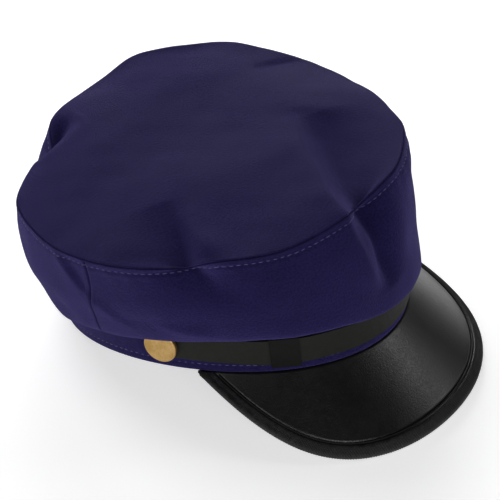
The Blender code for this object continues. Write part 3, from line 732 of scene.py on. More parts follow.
def grain_group():
    """Fine leather grain: a height of small cells broken up by noise."""
    tree, start, end = shader_group("leather_grain", {"Place": None, "Size": 1500.0},
                                    ("Height", "Pores"))
    cells = node(tree, "ShaderNodeTexVoronoi", feature="SMOOTH_F1", Smoothness=0.6,
                 Vector=start["Place"], Scale=start["Size"])
    coarse = math_node(tree, "MULTIPLY", start["Size"], 0.4)
    rough = node(tree, "ShaderNodeTexNoise", Vector=start["Place"], Scale=coarse, Detail=3.0)
    half_cells = math_node(tree, "MULTIPLY", cells.outputs["Distance"], 0.5)
    height = math_node(tree, "SUBTRACT", rough.outputs["Fac"], half_cells)
    set_inputs(tree, end, Height=height, Pores=ranged(tree, height, 0.0, 0.5))
    return tree


TWILL = twill_group()
MOTTLE = mottle_group()
GRAIN = grain_group()


# Materials

def new_material(name):
    material = bpy.data.materials.new(name)
    material.use_nodes = True
    tree = material.node_tree
    return material, tree, tree.nodes["Principled BSDF"]


def raised(tree, height, distance, strength):
    """The normal of a surface raised by a height; the distance is in metres."""
    made = node(tree, "ShaderNodeBump", Strength=strength, Distance=distance, Height=height)
    return made.outputs[0]


def object_place(tree):
    return node(tree, "ShaderNodeTexCoord").outputs["Object"]


def with_wear_and_painted_light(tree, base, share, colour):
    """The base colour, mixed with a paler one by the wear layer: seam wear on the cloth, painted
    highlight on the binding's rib crests.
    """
    wear_and_painted_light = node(tree, "ShaderNodeAttribute", attribute_name="wear_and_painted_light").outputs["Fac"]
    return mixed(tree, math_node(tree, "MULTIPLY", wear_and_painted_light, share), base, colour)


def twill_cloth(name, dark, light, rubbed_colour):
    """Navy twill: fine threads, soft sheen, paler where the cloth wears along its seams."""
    material, tree, shader = new_material(name)
    uv = node(tree, "ShaderNodeUVMap").outputs[0]
    weave = place_group(tree, TWILL, UV=uv, Pitch=0.00055)
    tone = place_group(tree, MOTTLE, Place=object_place(tree), Wide=14.0, Fine=160.0)
    shade_share = weighted(tree, weave["Thread"], 0.75, tone["Mask"], 0.25)
    base = mixed(tree, shade_share, dark, light)
    set_inputs(tree, shader,
               Base_Color=with_wear_and_painted_light(tree, base, 0.12, rubbed_colour),
               Roughness=ranged(tree, tone["Mask"], 0.0, 1.0, 0.82, 0.92),
               Specular_IOR_Level=0.04, Sheen_Weight=0.27, Sheen_Roughness=0.45,
               Sheen_Tint=(0.40, 0.325, 1.0, 1.0),
               Normal=raised(tree, weave["Height"], 0.0005, 0.7))
    return material


def thread_cloth(name, colour):
    material, tree, shader = new_material(name)
    tone = place_group(tree, MOTTLE, Place=object_place(tree), Wide=200.0, Fine=3000.0)
    dark = tuple(0.6 * part for part in colour)
    set_inputs(tree, shader, Base_Color=mixed(tree, tone["Mask"], dark, colour),
               Roughness=0.6, Sheen_Weight=0.15)
    return material


def black_leather(name, dark, light, roughness, size, height, speckle=0.0, specular=0.5):
    """Leather or leathercloth with fine grain, its gloss a little uneven."""
    material, tree, shader = new_material(name)
    place = object_place(tree)
    grain = place_group(tree, GRAIN, Place=place, Size=size)
    tone = place_group(tree, MOTTLE, Place=place, Wide=30.0, Fine=260.0)
    share = mixed(tree, speckle, tone["Mask"], grain["Pores"])
    base = mixed(tree, share, dark, light)
    # A paler colour painted on the binding's rib crests as painted highlight; only the binding
    # carries the layer that mixes it in
    painted_crest_light = tuple(min(1.0, 3.0 * part) for part in light)
    uneven = weighted(tree, tone["Mask"], 0.6, grain["Pores"], 0.4)
    set_inputs(tree, shader,
               Base_Color=with_wear_and_painted_light(tree, base, 0.5, painted_crest_light),
               Roughness=ranged(tree, uneven, 0.0, 1.0, *roughness),
               Specular_IOR_Level=specular,
               Normal=raised(tree, grain["Height"], height, 0.5))
    return material


def satin_gilt(name, dark, light):
    """Gilt metal with a satin face, slightly mottled."""
    material, tree, shader = new_material(name)
    place = object_place(tree)
    tone = place_group(tree, MOTTLE, Place=place, Wide=160.0, Fine=900.0)
    fine = node(tree, "ShaderNodeTexNoise", Vector=place, Scale=2600.0, Detail=2.0)
    set_inputs(tree, shader,
               Base_Color=mixed(tree, tone["Mask"], dark, light),
               Roughness=ranged(tree, tone["Mask"], 0.0, 1.0, 0.34, 0.46),
               Metallic=1.0, Normal=raised(tree, fine.outputs["Fac"], 0.00002, 0.4))
    return material


NAVY_TWILL = twill_cloth("navy_twill", (0.0082, 0.0065, 0.0390), (0.0190, 0.0155, 0.0800),
                         (0.060, 0.052, 0.150))
NAVY_THREAD = thread_cloth("navy_thread", (0.085, 0.080, 0.240))
PEAK_BLACK = black_leather("peak_black", (0.0035, 0.0035, 0.0035), (0.0060, 0.0060, 0.0065),
                           (0.30, 0.37), 2500.0, 0.00016)
BEAD_BLACK = black_leather("bead_black", (0.007, 0.007, 0.007), (0.010, 0.010, 0.010),
                           (0.58, 0.66), 2200.0, 0.00002, specular=0.22)
BINDING_BLACK = black_leather("binding_black", (0.0010, 0.0010, 0.0012), (0.0150, 0.0150, 0.0170),
                              (0.42, 0.70), 850.0, 0.0004, speckle=0.85, specular=0.35)
STRAP_BLACK = black_leather("strap_black", (0.0050, 0.0054, 0.0042), (0.0105, 0.0112, 0.0092),
                            (0.55, 0.68), 1100.0, 0.00012, specular=0.2)
# The keeper is the strap's leather painted darker: painted shade
KEEPER_SHADED_BLACK = black_leather("keeper_painted_shade", (0.0030, 0.0032, 0.0028), (0.0060, 0.0062, 0.0055),
                             (0.55, 0.65), 1600.0, 0.00004, specular=0.12)
GILT = satin_gilt("satin_gilt", (0.40, 0.245, 0.078), (0.54, 0.355, 0.142))


# The crown's panels

# Soft ridges beside the seams: height, place of the middle and half width, all in mm
TOP_RIDGES = ((0.06, 2.4, 1.5),)
SIDE_RIDGES = ((0.07, 1.9, 1.0), (-0.24, TOPSTITCH_DROP / MM, 0.8),
               (0.14, TOPSTITCH_DROP / MM + 2.2, 1.4))
UPRIGHT_RIDGES = ((0.22, 2.1, 1.3),)

SEAM_RUB = 0.5
PUCKERS_ROUND = 61
TOP_PUCKER = 0.04 * MM
SIDE_PUCKER = 0.11 * MM
CROWN_RADIUS = 0.25 * (CROWN_WIDTH + CROWN_LENGTH)


def ridges(distance, rows):
    """Height of the soft ridges in a table, at a distance."""
    return MM * sum(height * bump(distance, middle * MM, half_width * MM)
                    for height, middle, half_width in rows)


def spread(*weights):
    """Shares from 0 to 1 whose steps are in proportion to the weights."""
    steps = np.concatenate([[0.0], np.cumsum(np.concatenate(weights))])
    return steps / steps[-1]


def growing(first, last, growth=1.2):
    """Steps that grow from the first size to the last."""
    count = int(math.log(last / first) / math.log(growth))
    return first * growth ** np.arange(count)


def groove(distance):
    """Depth of a sewn seam's groove, by the distance from its middle."""
    return SEAM_DEPTH * bump(distance, 0, SEAM_HALF_WIDTH)


def turned_in(outer, normal, angle, from_seam, relief, settle):
    """Outer and inner points of a panel with relief, its edge turned into the top seam."""
    way_in, mitre = at_seam(angle)
    relief = relief * (1 - bump(from_seam, 0, settle))
    outer = outer + way_in * groove(from_seam)[..., None] + normal * relief[..., None]
    edge = bump(from_seam, 0, EDGE_TURN)[..., None]
    inner = outer - normal * (1 - edge) * CLOTH + way_in * edge * mitre[..., None]
    return outer, inner


def disc_grid(half):
    """A square grid pressed into a disc: the ring and the angle of each of its points."""
    steps = np.arange(-half, half + 1)
    across, along = np.meshgrid(steps, steps, indexing="ij")
    ring = np.maximum(np.abs(across), np.abs(along))
    sideways = np.abs(across) > np.abs(along)
    quarter = math.pi / 4
    turn = np.where(sideways, quarter * along / np.where(across == 0, 1, across),
                    2 * quarter - quarter * across / np.where(along == 0, 1, along))
    flip = np.where(sideways, across < 0, along < 0)
    return ring, np.degrees(np.where(ring == 0, 0.0, turn + math.pi * flip))


def make_top():
    """The round top panel, its rings finer towards the seam."""
    half = 96
    ring, angle = disc_grid(half)
    edge_steps = growing(0.15, 1.15)[::-1]
    share = spread(np.full(half - len(edge_steps), 1.18), edge_steps)[ring]
    from_seam = (1 - share) * CROWN_RADIUS
    wave = np.sin(np.radians(angle) * PUCKERS_ROUND)
    pucker = TOP_PUCKER * wave * np.exp(-from_seam / (4 * MM))
    normal = surface_normal(soft_top, angle, share, lowest=0.02)
    outer, inner = turned_in(soft_top(angle, share), normal, angle, from_seam,
                             ridges(from_seam, TOP_RIDGES) + pucker, 1.2 * MM)
    centre = soft_top(np.zeros(1), np.zeros(1))[0]
    outer[half, half] = centre
    inner[half, half] = centre - np.array([0.0, 0.0, CLOTH])
    wear_and_painted_light = SEAM_RUB * bump(from_seam, 1.3 * MM, 0.9 * MM)
    return cloth_panel("crown_top_cloth", outer, inner, outer[..., :2], wear_and_painted_light)


def side_relief(angle, share, from_end):
    """A side panel with its turned-in edges: outer and inner points, and how far down each is."""
    outer = soft_side(angle, share)
    down = run_lengths(outer, axis=1)
    wave = np.sin(np.radians(angle) * PUCKERS_ROUND)
    pucker = SIDE_PUCKER * wave * bump(down, 6 * MM, 4.5 * MM)
    upright = ridges(from_end, UPRIGHT_RIDGES) - groove(from_end)
    upright = upright * np.clip((1 - share) / 0.1, 0, 1)
    outer, inner = turned_in(outer, surface_normal(soft_side, angle, share), angle, down,
                             ridges(down, SIDE_RIDGES) + pucker + upright, 1.0 * MM)
    last = share >= 0.9999
    outer[last] = rim_point(angle[last], 0.0, BAND_HEIGHT + SEAM_GAP)
    inner[last] = rim_point(angle[last], CLOTH, BAND_HEIGHT + SEAM_GAP)
    return outer, inner, down


def make_side(name, from_back, columns):
    """A side panel, its rows finer by the top seam and its columns by the upright seams."""
    shares = spread(growing(0.15, 0.9), np.full(70, 0.95), np.full(8, 0.8))
    seam_angles = SIDE_SEAM_TOP_ANGLE + (SIDE_SEAM_LOW_ANGLE - SIDE_SEAM_TOP_ANGLE) * shares
    start = seam_angles if from_back else -seam_angles
    end = 360 - seam_angles if from_back else seam_angles
    edge_steps = growing(0.18, 1.1)
    steps = spread(edge_steps, np.full(columns, 1.2), edge_steps[::-1])
    angle = start[None, :] + (end - start)[None, :] * steps[:, None]
    share = np.broadcast_to(shares, angle.shape)
    along = run_lengths(smooth_side(angle, share))
    from_end = np.minimum(along, along[-1] - along)
    outer, inner, down = side_relief(angle, share, from_end)
    middle_run = along[:, along.shape[1] // 3]
    uv = np.stack([np.broadcast_to(middle_run[:, None], down.shape), down], -1)
    wear_and_painted_light = SEAM_RUB * (bump(down, 1.2 * MM, 0.8 * MM) + bump(from_end, 1.1 * MM, 0.7 * MM))
    return cloth_panel(name, outer, inner, uv, wear_and_painted_light), outer, down


# Stitches

def one_stitch():
    """A short thread along X, about 1 long: its vertices and faces."""
    nothing_selected()
    bpy.ops.mesh.primitive_uv_sphere_add(segments=6, ring_count=5, radius=0.5)
    piece = bpy.context.object
    start_edit(piece)
    bpy.ops.transform.rotate(value=math.pi / 2, orient_axis="Y", center_override=(0, 0, 0))
    end_edit()
    points = np.array([vertex.co[:] for vertex in piece.data.vertices])
    faces = [tuple(face.vertices) for face in piece.data.polygons]
    bpy.data.objects.remove(piece, do_unlink=True)
    return points, faces


STITCH_POINTS, STITCH_FACES = one_stitch()

# How much the stitches differ in direction and in length, and how they bow, in thicknesses
STITCH_TILT = 0.10
STITCH_UNEVENNESS = 0.12
STITCH_LIFT = 0.10
STITCH_BOW = 0.35

BESIDE_STITCHES = 1.2 * MM
BAND_STITCH_SINK = 0.20 * MM
BAND_STITCH_END = 178.5


def stitch_row(name, path, normals):
    """Stitches along a path in the cap frame, each dipping into the cloth at both ends."""
    lengths = run_lengths(path)
    count = max(2, int(round(lengths[-1] / STITCH_PITCH)))
    at = (np.arange(count) + 0.5) * lengths[-1] / count

    def along(values, places):
        return np.stack([np.interp(places, lengths, values[:, i]) for i in range(3)], 1)

    ahead = unit(along(path, at + 0.5 * STITCH_LENGTH) - along(path, at - 0.5 * STITCH_LENGTH))
    up = unit(along(normals, at))
    up = unit(up - np.sum(up * ahead, 1)[:, None] * ahead)
    draws = np.random.default_rng(11).normal(0, 1, (count, 2))
    way = unit(ahead + STITCH_TILT * draws[:, :1] * np.cross(up, ahead))
    length = STITCH_LENGTH * (1 + STITCH_UNEVENNESS * draws[:, 1:])
    across = np.cross(up, way)
    lift = STITCH_LIFT - STITCH_BOW * (2 * STITCH_POINTS[:, :1]) ** 2
    points = (along(path, at)[:, None] + STITCH_POINTS[:, :1] * (length * way)[:, None]
              + STITCH_THICKNESS * STITCH_POINTS[:, 1:2] * across[:, None]
              + STITCH_THICKNESS * (STITCH_POINTS[:, 2:] + lift) * up[:, None])
    faces = [tuple(k * len(STITCH_POINTS) + i for i in face)
             for k in range(count) for face in STITCH_FACES]
    mesh = bpy.data.meshes.new(name)
    mesh.from_pydata(to_row(points.reshape(-1, 3)).tolist(), [], faces)
    piece = bpy.data.objects.new(name, mesh)
    bpy.context.scene.collection.objects.link(piece)
    start_edit(piece)
    bpy.ops.mesh.normals_make_consistent(inside=False)
    end_edit()
    return finished(piece, NAVY_THREAD, "cloth", angle=80.0)


def path_down(outer, down, drop):
    """The line on a side panel that lies so far below the top seam."""
    return np.array([[np.interp(drop, depth, points[:, i]) for i in range(3)]
                     for points, depth in zip(outer, down)])


def stitch_top_seam(name, outer, down):
    """A row of stitches on a side panel, under the top seam."""
    path = path_down(outer, down, TOPSTITCH_DROP)
    above = path_down(outer, down, TOPSTITCH_DROP - BESIDE_STITCHES)
    below = path_down(outer, down, TOPSTITCH_DROP + BESIDE_STITCHES)
    normals = unit(np.cross(np.gradient(path, axis=0), below - above))
    normals *= np.sign(np.sum(normals * (path - CROWN_CORE), axis=1))[:, None]
    return stitch_row(name, path, normals)


# The band

BAND_RIDGES = ((-0.22, BAND_STITCH_UP / MM, 0.8), (0.15, 2.0, 1.3))
BAND_SWELL = 0.18 * MM
BAND_SWELLS_ROUND = 9
BAND_PUCKER = 0.07 * MM
BAND_PUCKERS_ROUND = 67
BAND_JOINT_DEPTH = 0.7 * MM
BAND_JOINT_WIDTH = 0.9 * MM


def band_section():
    """The band's section from its top down the outside, round the fold and up: out and up."""
    corner = 0.5 * BAND_WALL
    outside = spread(np.full(26, 1.0)) * (BAND_HEIGHT - corner) + corner
    inside = spread(np.full(12, 1.0)) * (BAND_HEIGHT - corner) + corner
    section = [(0.0, up) for up in outside[::-1]]
    for turn in np.linspace(0, math.pi, 9)[1:-1]:
        section.append((-corner + corner * math.cos(turn), corner - corner * math.sin(turn)))
    section += [(-BAND_WALL, up) for up in inside]
    section += [(-0.5 * BAND_WALL, BAND_HEIGHT), section[0]]
    return np.array(section)


def make_band():
    """A ring of doubled cloth with a folded lower edge, flattened where it rests."""
    section = band_section()
    angles = np.linspace(-180, 180, 361)
    angle = np.broadcast_to(angles[:, None], (len(angles), len(section)))
    out = np.broadcast_to(section[:, 0], angle.shape)
    up = np.broadcast_to(section[:, 1], angle.shape)
    turn = np.radians(angle)
    swell = BAND_SWELL * np.sin(turn * BAND_SWELLS_ROUND + 1.0)
    swell = swell * np.sin(up / BAND_HEIGHT * math.pi)
    pucker = BAND_PUCKER * np.sin(turn * BAND_PUCKERS_ROUND) * bump(up, 6 * MM, 4 * MM)
    from_joint = np.abs(180 - np.abs(angle)) * math.radians(1) * HALF_LENGTH
    joint = BAND_JOINT_DEPTH * bump(from_joint, 0, BAND_JOINT_WIDTH)
    relief = ridges(up, BAND_RIDGES) + swell + pucker - joint
    outside = np.clip(1 + out / (0.4 * BAND_WALL), 0, 1)
    points = rim_point(angle, out + relief * outside, up)
    piece, row_of, column_of = grid_through("band_cloth", points)
    inner_face = out < -0.5 * BAND_WALL
    uv = np.stack([angle / 360 * HEAD_GIRTH, up + 0.1 * inner_face], -1)
    set_uv(piece, uv[row_of, column_of])
    flatten_below_floor(piece)
    weld(piece)
    face_outwards(piece, to_row(rim_point(angles, -0.5 * BAND_WALL, 0.5 * BAND_HEIGHT)))
    return finished(piece, NAVY_TWILL, "cloth", "head_band", angle=60.0)


def stitch_band():
    angles = np.linspace(-BAND_STITCH_END, BAND_STITCH_END, 715)
    path = rim_point(angles, -BAND_STITCH_SINK, BAND_STITCH_UP)
    return stitch_row("band_stitches", path, rim_outward(angles))


# The peak

PEAK_STEP = 0.004
PANEL_WALL = 0.8 * PEAK_WALL
FACE_EDGE = 2.0 * MM
SINK_PLACE = 9.1 * MM
SINK_SOFTNESS = 0.16 * MM
SINK_DEPTH = 0.45 * MM
LIP_RIDGES = ((0.02, 10.0, 0.9),)
BINDING_OVER = 1.3 * MM
BINDING_WALL = 0.8 * MM
BINDING_CORE = 3.4 * MM
UPPER_FLAT_END = 4.6 * MM
LOWER_FLAT_END = 5.6 * MM
RIB_HEIGHT = 0.18 * MM
RIB_PITCH = 1.4 * MM
RIB_FADE = 1.2 * MM
# How much paler the binding's rib crests are painted, as painted highlight, against their darker
# hollows
RIB_PAINTED_LIGHT = 0.22

# The binding's two laps: how far out from its inner edge, and height there, in mm
UPPER_LAP = ((0.0, 0.05), (0.05, 0.55), (0.5, 0.95), (1.6, 1.15))
LOWER_LAP = ((0.5, 0.35), (0.0, 0.9))


def peak_frame(t):
    t = np.asarray(t, float)
    angle = t * PEAK_HALF_ANGLE
    powers = t[..., None] ** np.array(PEAK_POWERS)
    length = PEAK_REACH * (powers @ np.array(PEAK_LENGTH_SHARES))
    droop = np.radians(PEAK_DROOP) * (powers @ np.array(PEAK_DROOP_SHARES))
    turn = np.radians(angle) * (powers @ np.array(PEAK_TURN_SHARES))
    level = np.cos(droop)
    way = np.stack([-np.sin(turn) * level, -np.cos(turn) * level, -np.sin(droop)], -1)
    return rim_point(angle, 0.0, -SEAM_GAP), way, length


def peak_surface(t, share):
    start, way, length = peak_frame(t)
    return start + way * (length * share)[..., None]


def along_peak(t, share):
    return peak_surface(t + PEAK_STEP, share) - peak_surface(t - PEAK_STEP, share)


def peak_normal(t, share):
    _, way, _ = peak_frame(t)
    normal = unit(np.cross(way, along_peak(t, share)))
    return normal * np.sign(normal[..., 2:3])


def inside_edge(t, distance):
    """Share of each line of the peak that lies so far inside its outer edge, and off the band."""
    edge = unit(along_peak(t, np.ones_like(t)))
    _, way, length = peak_frame(t)
    depth = length * np.linalg.norm(np.cross(edge, way), axis=-1)
    return np.maximum(1 - distance / depth, BAND_CLEARANCE / length)


def peak_place(t, distance, offset):
    """Point so far inside the peak's outer edge and so far above its top face."""
    share = inside_edge(t, distance)
    return peak_surface(t, share) + peak_normal(t, share) * np.asarray(offset)[..., None]


def peak_steps(count, end=PEAK_END):
    """Places along the peak at even distances along its edge."""
    fine = np.linspace(-end, end, 2001)
    lengths = run_lengths(peak_surface(fine, np.ones_like(fine)))
    return np.interp(np.linspace(0, lengths[-1], count), lengths, fine), lengths[-1]


def make_peak_panel():
    """The peak's smooth face, sunk where the bead and the binding lie on it."""
    t, _ = peak_steps(241)
    share = inside_edge(t, FACE_EDGE)[:, None] * spread(np.full(40, 1.0), np.full(24, 0.4))
    wide_t = np.broadcast_to(t[:, None], share.shape)
    from_edge = (1 - share) * MM / (1 - inside_edge(t, MM))[:, None]
    sunk = SINK_DEPTH / (1 + np.exp((from_edge - SINK_PLACE) / SINK_SOFTNESS))
    relief = ridges(from_edge, LIP_RIDGES) - sunk
    points = peak_surface(wide_t, share) + peak_normal(wide_t, share) * relief[..., None]
    under_band = rim_point(t * PEAK_HALF_ANGLE, -BAND_WALL, -SEAM_GAP)
    grid = np.concatenate([under_band[:, None], points], 1)
    piece, _, _ = grid_through("peak_panel", grid)
    if sum(face.normal.z * face.area for face in piece.data.polygons) < 0:
        piece.data.flip_normals()
    give_wall(piece, PANEL_WALL)
    return piece


def make_bead():
    """The thin round bead between the peak's face and its binding."""
    t, _ = peak_steps(420, end=BEAD_END)
    turns = np.linspace(0, 2 * math.pi, 13)[None, :, None]
    share = inside_edge(t, BEAD_INSIDE)
    middle = peak_surface(t, share)
    up = peak_normal(t, share)
    side = np.cross(unit(np.gradient(middle, axis=0)), up)
    middle = middle + up * BEAD_LIFT
    ring = BEAD_RADIUS * (np.cos(turns) * side[:, None] + np.sin(turns) * up[:, None])
    piece, _, _ = grid_through("peak_bead", middle[:, None] + ring)
    weld(piece)
    start_edit(piece)
    bpy.ops.mesh.fill_holes(sides=64)
    bpy.ops.mesh.select_all(action="SELECT")
    bpy.ops.mesh.normals_make_consistent(inside=False)
    end_edit()
    return piece


def binding_section():
    """The binding's outer line round the peak's edge: distance inside the edge, height."""
    radius = 0.5 * PEAK_WALL + BINDING_OVER
    low = -PEAK_WALL - BINDING_OVER
    section = [(BINDING_WIDTH - back * MM, up * MM) for back, up in UPPER_LAP]
    section += [(x, BINDING_OVER) for x in np.linspace(UPPER_FLAT_END, radius, 4)]
    for turn in np.linspace(90, 270, 13)[1:-1]:
        section.append((radius + radius * math.cos(math.radians(turn)),
                        low + radius + radius * math.sin(math.radians(turn))))
    section += [(x, low) for x in np.linspace(radius, LOWER_FLAT_END, 4)]
    section += [(BINDING_WIDTH - back * MM, low + up * MM) for back, up in LOWER_LAP]
    return np.array(section)


def make_binding():
    """The ribbed strip that wraps the peak's outer edge."""
    section = binding_section()
    t, length = peak_steps(1250)
    wide_t = np.broadcast_to(t[:, None], (len(t), len(section)))
    distance = np.broadcast_to(section[:, 0], wide_t.shape)
    offset = np.broadcast_to(section[:, 1], wide_t.shape)
    points = peak_place(wide_t, distance, offset)
    core = peak_place(t, np.full(len(t), BINDING_CORE), np.full(len(t), -0.5 * PEAK_WALL))
    wave = np.sin(np.linspace(0, length, len(t)) / RIB_PITCH * 2 * math.pi)
    fade = np.minimum(1.0, (BINDING_WIDTH - distance) / RIB_FADE)
    ribs = RIB_HEIGHT * wave[:, None] * fade
    points = points + unit(points - core[:, None]) * ribs[..., None]
    piece, row_of, _ = grid_through("peak_edge_binding", points)
    face_outwards(piece, to_row(core)[::10])
    give_wall(piece, BINDING_WALL)
    # Rib crests painted paler than the hollows: painted highlight and shade on the ribs
    set_wear_and_painted_light(piece, RIB_PAINTED_LIGHT + RIB_PAINTED_LIGHT * wave[row_of])
    flatten_below_floor(piece)
    return piece


# Strap, keeper and buttons

STRAP_SHARES = np.array([0.0, 0.08, 0.2, 0.35, 0.5, 0.65, 0.8, 0.92, 1.0])
STRAP_TUCK = 2.2 * MM
STRAP_WAVE = 0.12 * MM
STRAP_WAVES_ROUND = 11
STRAP_SWELL = 0.10 * MM
STRAP_EDGE = 0.3 * MM
KEEPER_SWELL = 0.1 * MM
KEEPER_EDGE = 0.22 * MM
BUTTON_EDGE = 1.0 * MM

# The button's face from its edge inwards: how far in each step goes and how far up, in mm
BUTTON_FACE = ((1.35, 0.0), (0.25, -0.14), (2.2, 0.10), (2.4, 0.08), (1.9, 0.03))


def arc_from_front(angle):
    steps = np.linspace(0, 180, 361)
    lengths = run_lengths(rim_point(steps)[:, :2])
    return np.sign(angle) * np.interp(np.abs(angle), steps, lengths)


def angle_at_arc(arc):
    steps = np.linspace(0, 180, 361)
    return np.sign(arc) * np.interp(np.abs(arc), arc_from_front(steps), steps)


def strap_height(angle):
    climb = STRAP_HEIGHT_ENDS - STRAP_HEIGHT_FRONT
    return STRAP_HEIGHT_FRONT + climb * (angle / BUTTON_ANGLE) ** 2


def strap_standoff(angle):
    """Gap between the band and the strap, wider where the keeper runs behind."""
    away = np.abs(arc_from_front(angle) - arc_from_front(KEEPER_ANGLE)) - 0.5 * KEEPER_WIDTH
    blend = np.clip((away - KEEPER_ROOM) / KEEPER_EASE, 0, 1)
    return SEAM_GAP + (KEEPER_WALL + SEAM_GAP) * (1 - blend ** 2 * (3 - 2 * blend))


def make_strap():
    """A flat strap along the band, a little uneven, with rounded edges."""
    end = float(arc_from_front(BUTTON_ANGLE)) + STRAP_PAST_BUTTON
    angles = angle_at_arc(np.linspace(-end, end, 241))
    angle = np.broadcast_to(angles[:, None], (len(angles), len(STRAP_SHARES)))
    tuck = np.zeros(angle.shape)
    tuck[[0, -1]] = STRAP_TUCK
    up = strap_height(angle) + tuck + (STRAP_WIDTH - 2 * tuck) * STRAP_SHARES
    up = up + STRAP_WAVE * np.sin(np.radians(angle) * STRAP_WAVES_ROUND + 0.4)
    swell = STRAP_SWELL * np.sin(math.pi * STRAP_SHARES) ** 2
    out = strap_standoff(angle) + STRAP_WALL + swell
    piece, _, _ = grid_through("chin_strap", rim_point(angle, out, up))
    face_outwards(piece, to_row(rim_point(angles, -10 * MM, 0.5 * BAND_HEIGHT)))
    give_wall(piece, STRAP_WALL)
    round_edges(piece, STRAP_EDGE, 3)
    return piece


def make_keeper():
    """The loop that slides on the strap."""
    centre = float(arc_from_front(KEEPER_ANGLE))
    angles = angle_at_arc(centre + KEEPER_WIDTH * np.linspace(-0.5, 0.5, 13))
    low = strap_height(angles) - SEAM_GAP
    high = strap_height(angles) + STRAP_WIDTH + SEAM_GAP
    back = strap_standoff(angles) - SEAM_GAP
    front = strap_standoff(angles) + STRAP_WALL + SEAM_GAP
    middle = 0.5 * (low + high)
    ring = ((back, low), (front, low), (front + KEEPER_SWELL, middle), (front, high), (back, high),
            (back, middle), (back, low))
    piece, _, _ = grid_through("strap_loop",
                               np.stack([rim_point(angles, out, up) for out, up in ring], 1))
    weld(piece)
    face_outwards(piece, to_row(rim_point(angles, 0.5 * (back + front), middle)))
    give_wall(piece, KEEPER_WALL, offset=1.0, use_even_offset=True)
    round_edges(piece, KEEPER_EDGE, 2)
    return piece


def make_button(name, side):
    """A flat gilt disc with a rounded edge and a faint raised rim."""
    nothing_selected()
    bpy.ops.mesh.primitive_cylinder_add(vertices=96, radius=BUTTON_RADIUS, depth=BUTTON_THICKNESS)
    piece = bpy.context.object
    piece.name = name
    mesh = piece.data
    for part in (*mesh.edges, *mesh.vertices):
        part.select = False
    for face in mesh.polygons:
        face.select = face.normal.z > 0.9
    bpy.ops.object.mode_set(mode="EDIT")
    bpy.ops.mesh.select_mode(type="FACE")
    for thickness, depth in BUTTON_FACE:
        bpy.ops.mesh.inset(thickness=thickness * MM, depth=depth * MM)
    bpy.ops.mesh.merge(type="CENTER")
    end_edit()
    round_edges(piece, BUTTON_EDGE, 6, angle=60.0)
    angle = side * BUTTON_ANGLE
    turn = Vector(rim_outward(angle)).to_track_quat("Z", "Y").to_matrix().to_4x4()
    middle = Vector(rim_point(angle, 0.0, STRAP_HEIGHT_ENDS + 0.5 * STRAP_WIDTH))
    off_band = 2 * SEAM_GAP + STRAP_WALL + 0.5 * BUTTON_THICKNESS
    mesh.transform(CAP @ Matrix.Translation(middle) @ turn @ Matrix.Translation((0, 0, off_band)))
    return piece


# All pieces

top = make_top()
front, front_outer, front_down = make_side("crown_front_cloth", False, 268)
back, back_outer, back_down = make_side("crown_back_cloth", True, 196)
finished(top, NAVY_TWILL, "cloth", "crown_top", angle=75.0)
finished(front, NAVY_TWILL, "cloth", "crown_front", angle=75.0)
finished(back, NAVY_TWILL, "cloth", "crown_back", angle=75.0)
front_stitches = stitch_top_seam("top_stitches_front", front_outer, front_down)
back_stitches = stitch_top_seam("top_stitches_back", back_outer, back_down)
band = make_band()
band_stitches = stitch_band()

finished(make_peak_panel(), PEAK_BLACK, "peak_leather", "peak")
finished(make_bead(), BEAD_BLACK, "peak_leather", angle=60.0)
finished(make_binding(), BINDING_BLACK, "binding_leather", "peak_binding", angle=60.0)
finished(make_strap(), STRAP_BLACK, "strap_leather", "strap")
finished(make_keeper(), KEEPER_SHADED_BLACK, "strap_leather", "strap_keeper")
finished(make_button("button_right_gilt", 1), GILT, "gilt", "button_right")
finished(make_button("button_left_gilt", -1), GILT, "gilt", "button_left")


# The set: floor, light and camera

WHITE = (1.0, 1.0, 1.0, 1.0)
FLOOR_GREY = (0.86, 0.86, 0.86, 1.0)
LIGHT_AIM = Vector((0.0, 0.0, 0.05))
LIGHT_DISTANCE = 1.6

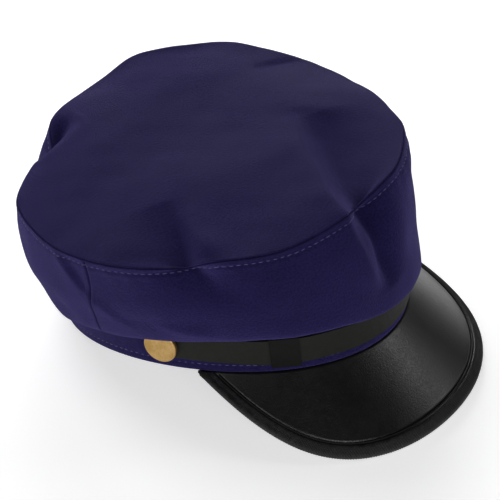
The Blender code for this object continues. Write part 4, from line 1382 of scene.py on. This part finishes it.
# Round lamps: name, azimuth and height in degrees, size in metres and power in watts. Azimuth 0
# is in front of the peak and 90 on the wearer's left.
LIGHTS = (
    ("back_light", 124, 14, 0.9, 22.5),
    ("key_light", 172, 48, 0.8, 7.3),
    ("side_light", -88, 22, 0.8, 3.3),
    ("front_light", -40, 18, 0.8, 6.0),
    ("peak_light", 44, 34, 0.45, 2.2),
)

# The camera at the photo's angle: place in metres, turn in degrees, lens and sensor in mm
CAMERA_PLACE = (-0.69788, -0.395453, 0.642406)
CAMERA_TURN = (53.57328, -0.96474, -59.74297)
CAMERA_LENS = 131.349
CAMERA_SENSOR = 36.0

nothing_selected()
bpy.ops.mesh.primitive_plane_add(size=6.0, location=(0, 0, 0))
floor = bpy.context.object
floor.name = "floor"
floor_material, floor_tree, floor_shader = new_material("pale_floor")
set_inputs(floor_tree, floor_shader, Base_Color=FLOOR_GREY, Roughness=0.9,
           Specular_IOR_Level=0.2, Emission_Color=WHITE, Emission_Strength=0.58)
floor.data.materials.append(floor_material)


def place_holder(name, content, place, turn):
    """Put a lamp or a camera into the scene."""
    holder = bpy.data.objects.new(name, content)
    holder.location = place
    holder.rotation_euler = turn
    bpy.context.scene.collection.objects.link(holder)
    return holder


for light_name, azimuth, height, size, power in LIGHTS:
    lamp = bpy.data.lights.new(light_name, "AREA")
    lamp.shape = "DISK"
    lamp.size = size
    lamp.energy = power
    turn = math.radians(azimuth)
    level = math.cos(math.radians(height))
    way = Vector((math.sin(turn) * level, -math.cos(turn) * level, math.sin(math.radians(height))))
    place_holder(light_name, lamp, LIGHT_AIM + LIGHT_DISTANCE * way,
                 (-way).to_track_quat("-Z", "Y").to_euler())

world = bpy.data.worlds.new("studio")
bpy.context.scene.world = world
world.use_nodes = True
set_inputs(world.node_tree, world.node_tree.nodes["Background"], Color=WHITE, Strength=0.05)

camera = bpy.data.cameras.new("camera")
camera.lens = CAMERA_LENS
camera.sensor_width = CAMERA_SENSOR
camera_turn = [math.radians(part) for part in CAMERA_TURN]
bpy.context.scene.camera = place_holder("camera", camera, CAMERA_PLACE, camera_turn)
bpy.context.scene.view_settings.view_transform = "Standard"
